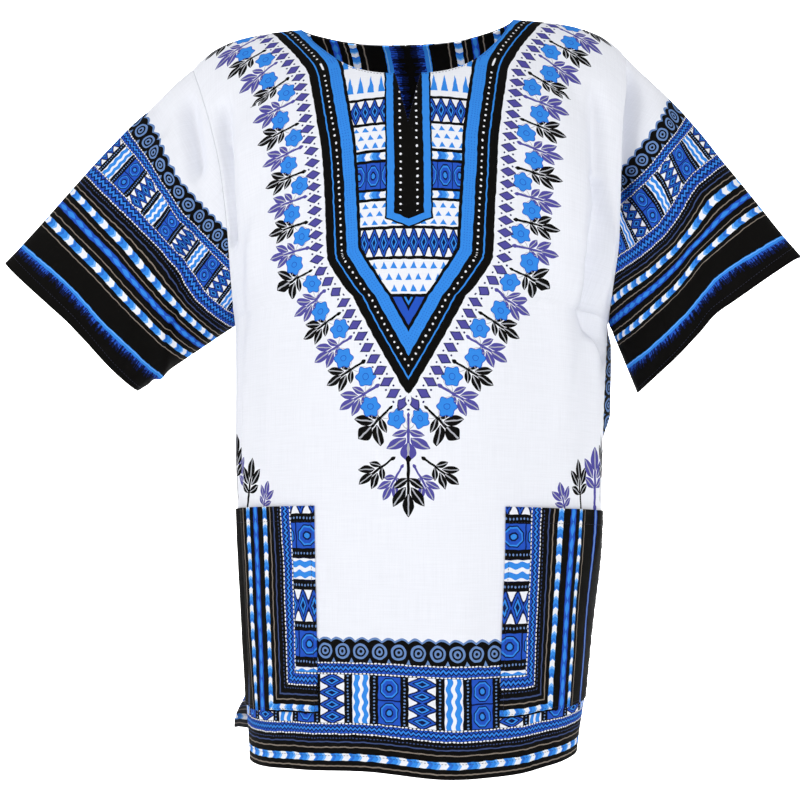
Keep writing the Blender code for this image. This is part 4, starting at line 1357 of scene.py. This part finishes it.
def sleeve_print(across, from_cuff):
    scallops, mask = use(SCALLOPS, across, from_cuff - SLEEVE_BORDER)
    colour = paint(WHITE, scallops, mask)
    return paint(colour, stack(SLEEVE_BANDS, from_cuff, across), from_cuff.under(SLEEVE_BORDER))


def pocket_print(from_inner, up):
    outward, below = from_inner - POCKET_MOTIF, (up - POCKET_MOTIF_FOOT) * -1
    along = paint(up, from_inner, below.over(outward))
    block_up = up / POCKET_BLOCK + POCKET_BLOCK_UP
    colour = use(PATTERNS["blocks"], block_up, from_inner / POCKET_BLOCK + POCKET_BLOCK_IN)
    border = stack(POCKET_BANDS, outward.either(below), along)
    return paint(colour, border, outward.either(below).over(0))


def facing_print(across, down):
    return stack(FACING_BANDS, abs(across + FACING_MIDDLE), down)


def draw_thread(tree):
    place = output_of(tree, "ShaderNodeTexCoord", output="Object")
    twist = output_of(tree, "ShaderNodeTexNoise", {"Vector": place, "Scale": TWIST_SCALE})
    return {"Base Color": paint(NAVY, BLACK, twist), "Roughness": twist * 0.3 + 0.5}


BODY_CLOTH = cloth_material("printed_cotton_front", body_print)
BACK_CLOTH = cloth_material("printed_cotton_back", back_print)
SLEEVE_CLOTH = cloth_material("printed_cotton_sleeve", sleeve_print)
POCKET_CLOTH = cloth_material("printed_cotton_pocket", pocket_print)
# The facing's print is brightened as painted light, against the shade inside the back neck.
FACING_CLOTH = cloth_material("printed_cotton_facing", facing_print, painted_light_gain=1.9)
BODY_REVERSE = cloth_material("cotton_reverse_body", body_print, fade=0.05)
SLEEVE_REVERSE = cloth_material("cotton_reverse_sleeve", sleeve_print, fade=0.12)
THREAD = new_material("thread", draw_thread)


def build_cloth():
    """The four shells, their walls turned alike where they meet, and the maps of each."""
    surface, outward, maps = {}, {}, {}
    for name, front in (("front_panel", True), ("back_panel", False)):
        side, down = panel_grid(front)
        side = side * (1 - SEAM_GAP / 2 / BODY_HALF_WIDTH)
        surface[name], across = panel_surface(front, side, down)
        outward[name] = grid_normals(surface[name]) * (1 if front else -1)
        depth = np.abs(down)
        maps[name] = {"flat": (across, depth)} | ring_maps(across, depth)
    for name, left in (("sleeve_left", True), ("sleeve_right", False)):
        surface[name], across, from_cuff = sleeve_surface(left)
        outward[name] = grid_normals(surface[name], closed_round=True) * (1 if left else -1)
        maps[name] = {"flat": (across, from_cuff)}
    match_walls_at_seams(outward)
    for name in ("sleeve_left", "sleeve_right"):
        part_sleeve_from_body(surface[name], outward[name])
    return surface, outward, maps


surface, outward, maps = build_cloth()
for name in surface:
    tube = name.startswith("sleeve")
    front_side = SLEEVE_CLOTH if tube else BODY_CLOTH if name == "front_panel" else BACK_CLOTH
    reverse = SLEEVE_REVERSE if tube else BODY_REVERSE
    inner = surface[name] - outward[name] * WALL
    add_piece(
        name + "_cloth", surface[name], inner, [front_side, reverse], maps[name], closed_round=tube
    )
    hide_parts(name)


def cut_from(name, rows, columns):
    """A part of a panel's grid: its points, its outward directions and its flat map."""
    part = (slice(rows[0], rows[1] + 1), slice(columns[0], columns[-1] + 1))
    lengths = [values[part] for values in maps[name]["flat"]]
    return surface[name][part], outward[name][part], *lengths


def columns_between(low, high):
    return [k for k, s in enumerate(SIDE_COLUMNS) if low - HAIR <= s <= high + HAIR]


pocket_outer = {}
for name, low, high in (
    ("pocket_left", -POCKET_OUTER, -POCKET_INNER), ("pocket_right", POCKET_INNER, POCKET_OUTER),
):
    rows = (row_of(POCKET_TOP), row_of(POCKET_BOTTOM))
    base, out, across, down = cut_from("front_panel", rows, columns_between(low, high))
    mouth = 1 - ramp(np.linspace(0, 1, base.shape[0]), 0.0, POCKET_EASE_END)
    belly = np.sin(np.pi * np.linspace(0, 1, base.shape[1]))
    ease = SEAM_GAP + POCKET_MOUTH_EASE * mouth[:, None] * belly[None, :]
    inner = base + out * ease[..., None]
    near = np.abs(across).min(axis=1, keepdims=True)
    lengths = (np.abs(across) - near, POCKET_BOTTOM - down)
    add_piece(
        name + "_cloth", inner + out * WALL, inner, [POCKET_CLOTH], {"flat": lengths}
    )
    pocket_outer[name] = (inner + out * WALL, out)
    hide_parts(name)

facing_rows = (0, round(NECK_ROWS * FACING_SHARE))
base, out, across, down = cut_from(
    "back_panel", facing_rows, columns_between(-NECK_HALF, NECK_HALF)
)
facing_top = base - out * (WALL + SEAM_GAP)
add_piece(
    "neck_facing_cloth", facing_top, facing_top - out * WALL, [FACING_CLOTH],
    {"flat": (across, down)},
)
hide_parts("neck_facing")

# The cloth turned in at the hem and cuffs
for name in surface:
    tube = name.startswith("sleeve")
    rows = surface[name].shape[0]
    first = rows - 1 - CUFF_FOLD_ROWS if tube else row_of(BODY_LENGTH - HEM_FOLD)
    part = slice(first, rows)
    base, out = surface[name][part], outward[name][part]
    turned_maps = {
        label: (across[part], along[part]) for label, (across, along) in maps[name].items()
    }
    top = base - out * (WALL + SEAM_GAP)
    add_piece(
        name + "_hem", top, top - out * HEM_WALL, [SLEEVE_REVERSE if tube else BODY_REVERSE],
        turned_maps, closed_round=tube,
    )

STITCH_PITCH, STITCH_LENGTH, STITCH_WIDTH = 0.0032, 0.0024, 0.0005
STITCH_LIFT = STITCH_WIDTH * 0.3
VENT_COLUMN, MOUTH_ROW = 3, 4  # how far in from the edge a vent's and a pocket mouth's rows lie


def stitch_tree():
    """Stitches along every line of a mesh of edges."""
    tree = bpy.data.node_groups.new("stitches", "GeometryNodeTree")
    sizes = floats("Pitch", "Stitch Length", "Thread Width")
    add_sockets(tree, "INPUT", [("Lines", "NodeSocketGeometry")] + sizes)
    add_sockets(tree, "OUTPUT", [("Stitches", "NodeSocketGeometry")])
    begin = add_node(tree, "NodeGroupInput")
    lines, pitch, length, width = [Value(tree, socket) for socket in begin.outputs[:4]]
    curve = output_of(tree, "GeometryNodeMeshToCurve", {0: lines})
    spread = {"Curve": curve, "Length": pitch}
    tangent = {"Vector": output_of(tree, "GeometryNodeInputTangent")}
    stitch = {
        "Points": output_of(tree, "GeometryNodeResampleCurve", spread, mode="LENGTH"),
        "Instance": output_of(tree, "GeometryNodeMeshIcoSphere", {"Radius": 0.5}),
        "Rotation": output_of(tree, "FunctionNodeAlignEulerToVector", tangent, axis="X"),
        "Scale": output_of(tree, "ShaderNodeCombineXYZ", {0: length, 1: width, 2: width}),
    }
    placed = output_of(tree, "GeometryNodeInstanceOnPoints", stitch)
    real = output_of(tree, "GeometryNodeRealizeInstances", {0: placed})
    rounded = output_of(tree, "GeometryNodeSetShadeSmooth", {0: real})
    threads = output_of(tree, "GeometryNodeSetMaterial", {0: rounded, "Material": THREAD})
    add_node(tree, "NodeGroupOutput", {0: threads})
    return tree


STITCHES = stitch_tree()


def add_stitches(name, lines):
    """Stitches along lines of points as one mesh. A closed line repeats its first point."""
    points = np.concatenate(lines)
    edges, start = [], 0
    for line in lines:
        edges += [(start + k, start + k + 1) for k in range(len(line) - 1)]
        start += len(line)
    mesh = bpy.data.meshes.new(name + "_lines")
    mesh.from_pydata(points.tolist(), edges, [])
    path = bpy.data.objects.new(name + "_lines", mesh)
    bpy.context.scene.collection.objects.link(path)
    modifier = path.modifiers.new("stitches", "NODES")
    modifier.node_group = STITCHES
    values = {"Pitch": STITCH_PITCH, "Stitch Length": STITCH_LENGTH, "Thread Width": STITCH_WIDTH}
    for item in STITCHES.interface.items_tree:
        if item.name in values:
            modifier[item.identifier] = values[item.name]
    solved = path.evaluated_get(bpy.context.evaluated_depsgraph_get())
    made = bpy.data.objects.new(name, bpy.data.meshes.new_from_object(solved))
    bpy.data.objects.remove(path)
    bpy.context.scene.collection.objects.link(made)
    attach(made, "root")
    return made


def lifted(name, rows, columns):
    return surface[name][rows, columns] + outward[name][rows, columns] * STITCH_LIFT


for name in surface:
    if name.startswith("sleeve"):
        ring = lifted(name, -1 - CUFF_FOLD_ROWS, slice(None))
        lines = [np.concatenate([ring, ring[:1]])]
    else:
        hem_row = row_of(BODY_LENGTH - HEM_FOLD)
        vent_rows = slice(row_of(BODY_LENGTH - VENT_LENGTH) + 1, hem_row + 1)
        neck = columns_between(-NECK_HALF, NECK_HALF)
        lines = [
            lifted(name, hem_row, slice(VENT_COLUMN, -VENT_COLUMN)),
            lifted(name, vent_rows, VENT_COLUMN),
            lifted(name, vent_rows, -1 - VENT_COLUMN),
            lifted(name, 1, slice(neck[0], neck[-1])),
        ]
    add_stitches(name + "_stitches", lines)
for name, (outer, out) in pocket_outer.items():
    raised = outer + out * STITCH_LIFT
    lines = [raised[:, 1], raised[-2, 1:-1], raised[:, -2], raised[MOUTH_ROW, 1:-1]]
    add_stitches(name + "_stitches", lines)

# The flat cut of each piece: its area is what the neck, armholes and slants leave of it
Cut = namedtuple("Cut", "width length area")

FLOOR_Z, WALL_Y, BEND, STAGE_HALF, STAGE_FRONT, STAGE_TOP = -1.05, 4.5, 1.2, 6.0, -5.0, 4.0
BEND_STEPS = 16
FLOOR_COLOUR, FLOOR_ROUGH = (0.95, 0.95, 0.95, 1), 0.9
WORLD_LIGHT = 0.60


def build_stage():
    """A pale floor that bends up into a wall behind."""
    profile = [(STAGE_FRONT, FLOOR_Z)]
    for k in range(BEND_STEPS + 1):
        angle = math.pi / 2 * k / BEND_STEPS
        y = WALL_Y - BEND + BEND * math.sin(angle)
        profile.append((y, FLOOR_Z + BEND * (1 - math.cos(angle))))
    profile.append((WALL_Y, STAGE_TOP))
    points = [(x, y, z) for y, z in profile for x in (-STAGE_HALF, STAGE_HALF)]
    faces = [(2 * k, 2 * k + 1, 2 * k + 3, 2 * k + 2) for k in range(len(profile) - 1)]
    mesh = bpy.data.meshes.new("studio_floor")
    mesh.from_pydata(points, [], faces)
    mesh.shade_smooth()
    pale = {"Base Color": FLOOR_COLOUR, "Roughness": FLOOR_ROUGH}
    mesh.materials.append(new_material("studio_floor", lambda tree: pale))
    made = bpy.data.objects.new("studio_floor", mesh)
    bpy.context.scene.collection.objects.link(made)


# Each light: its name, where it stands and points, its size and its power
CHEST = (0.0, 0.0, -0.35)
LIGHTS = [
    ("key", (-2.0, -1.4, 0.5), CHEST, 1.2, 20),
    ("front", (0.3, -2.6, -0.2), CHEST, 1.0, 6),
    ("fill", (1.7, -1.4, 0.0), CHEST, 1.4, 12),
    ("backdrop", (0.0, 2.2, 1.7), (0.0, 4.4, 0.2), 2.4, 340),
]


def add_light(name, place, target, size, power):
    light = bpy.data.lights.new(name, "AREA")
    light.energy, light.size = power, size
    made = bpy.data.objects.new(name, light)
    made.location = place
    made.rotation_euler = (Vector(target) - Vector(place)).to_track_quat("-Z", "Y").to_euler()
    bpy.context.scene.collection.objects.link(made)


def set_up_world():
    world = bpy.data.worlds.new("studio")
    bpy.context.scene.world = world
    world.use_nodes = True
    background = world.node_tree.nodes["Background"]
    background.inputs["Color"].default_value = (1, 1, 1, 1)
    background.inputs["Strength"].default_value = WORLD_LIGHT


CAMERA_TURN, CAMERA_DISTANCE, CAMERA_Z, CAMERA_SHIFT = math.radians(5), 1.75, -0.375, -0.020
LENS, SENSOR_WIDTH = 78.75, 36.0


def build_camera():
    data = bpy.data.cameras.new("camera")
    data.lens, data.sensor_width = LENS, SENSOR_WIDTH
    camera = bpy.data.objects.new("camera", data)
    cosine, sine = math.cos(CAMERA_TURN), math.sin(CAMERA_TURN)
    camera.location = (
        CAMERA_DISTANCE * sine + CAMERA_SHIFT * cosine,
        -CAMERA_DISTANCE * cosine + CAMERA_SHIFT * sine,
        CAMERA_Z,
    )
    camera.rotation_euler = (math.pi / 2, 0.0, CAMERA_TURN)
    bpy.context.scene.collection.objects.link(camera)
    bpy.context.scene.camera = camera


build_stage()
set_up_world()
for light in LIGHTS:
    add_light(*light)
build_camera()
bpy.context.scene.view_settings.view_transform = "Standard"
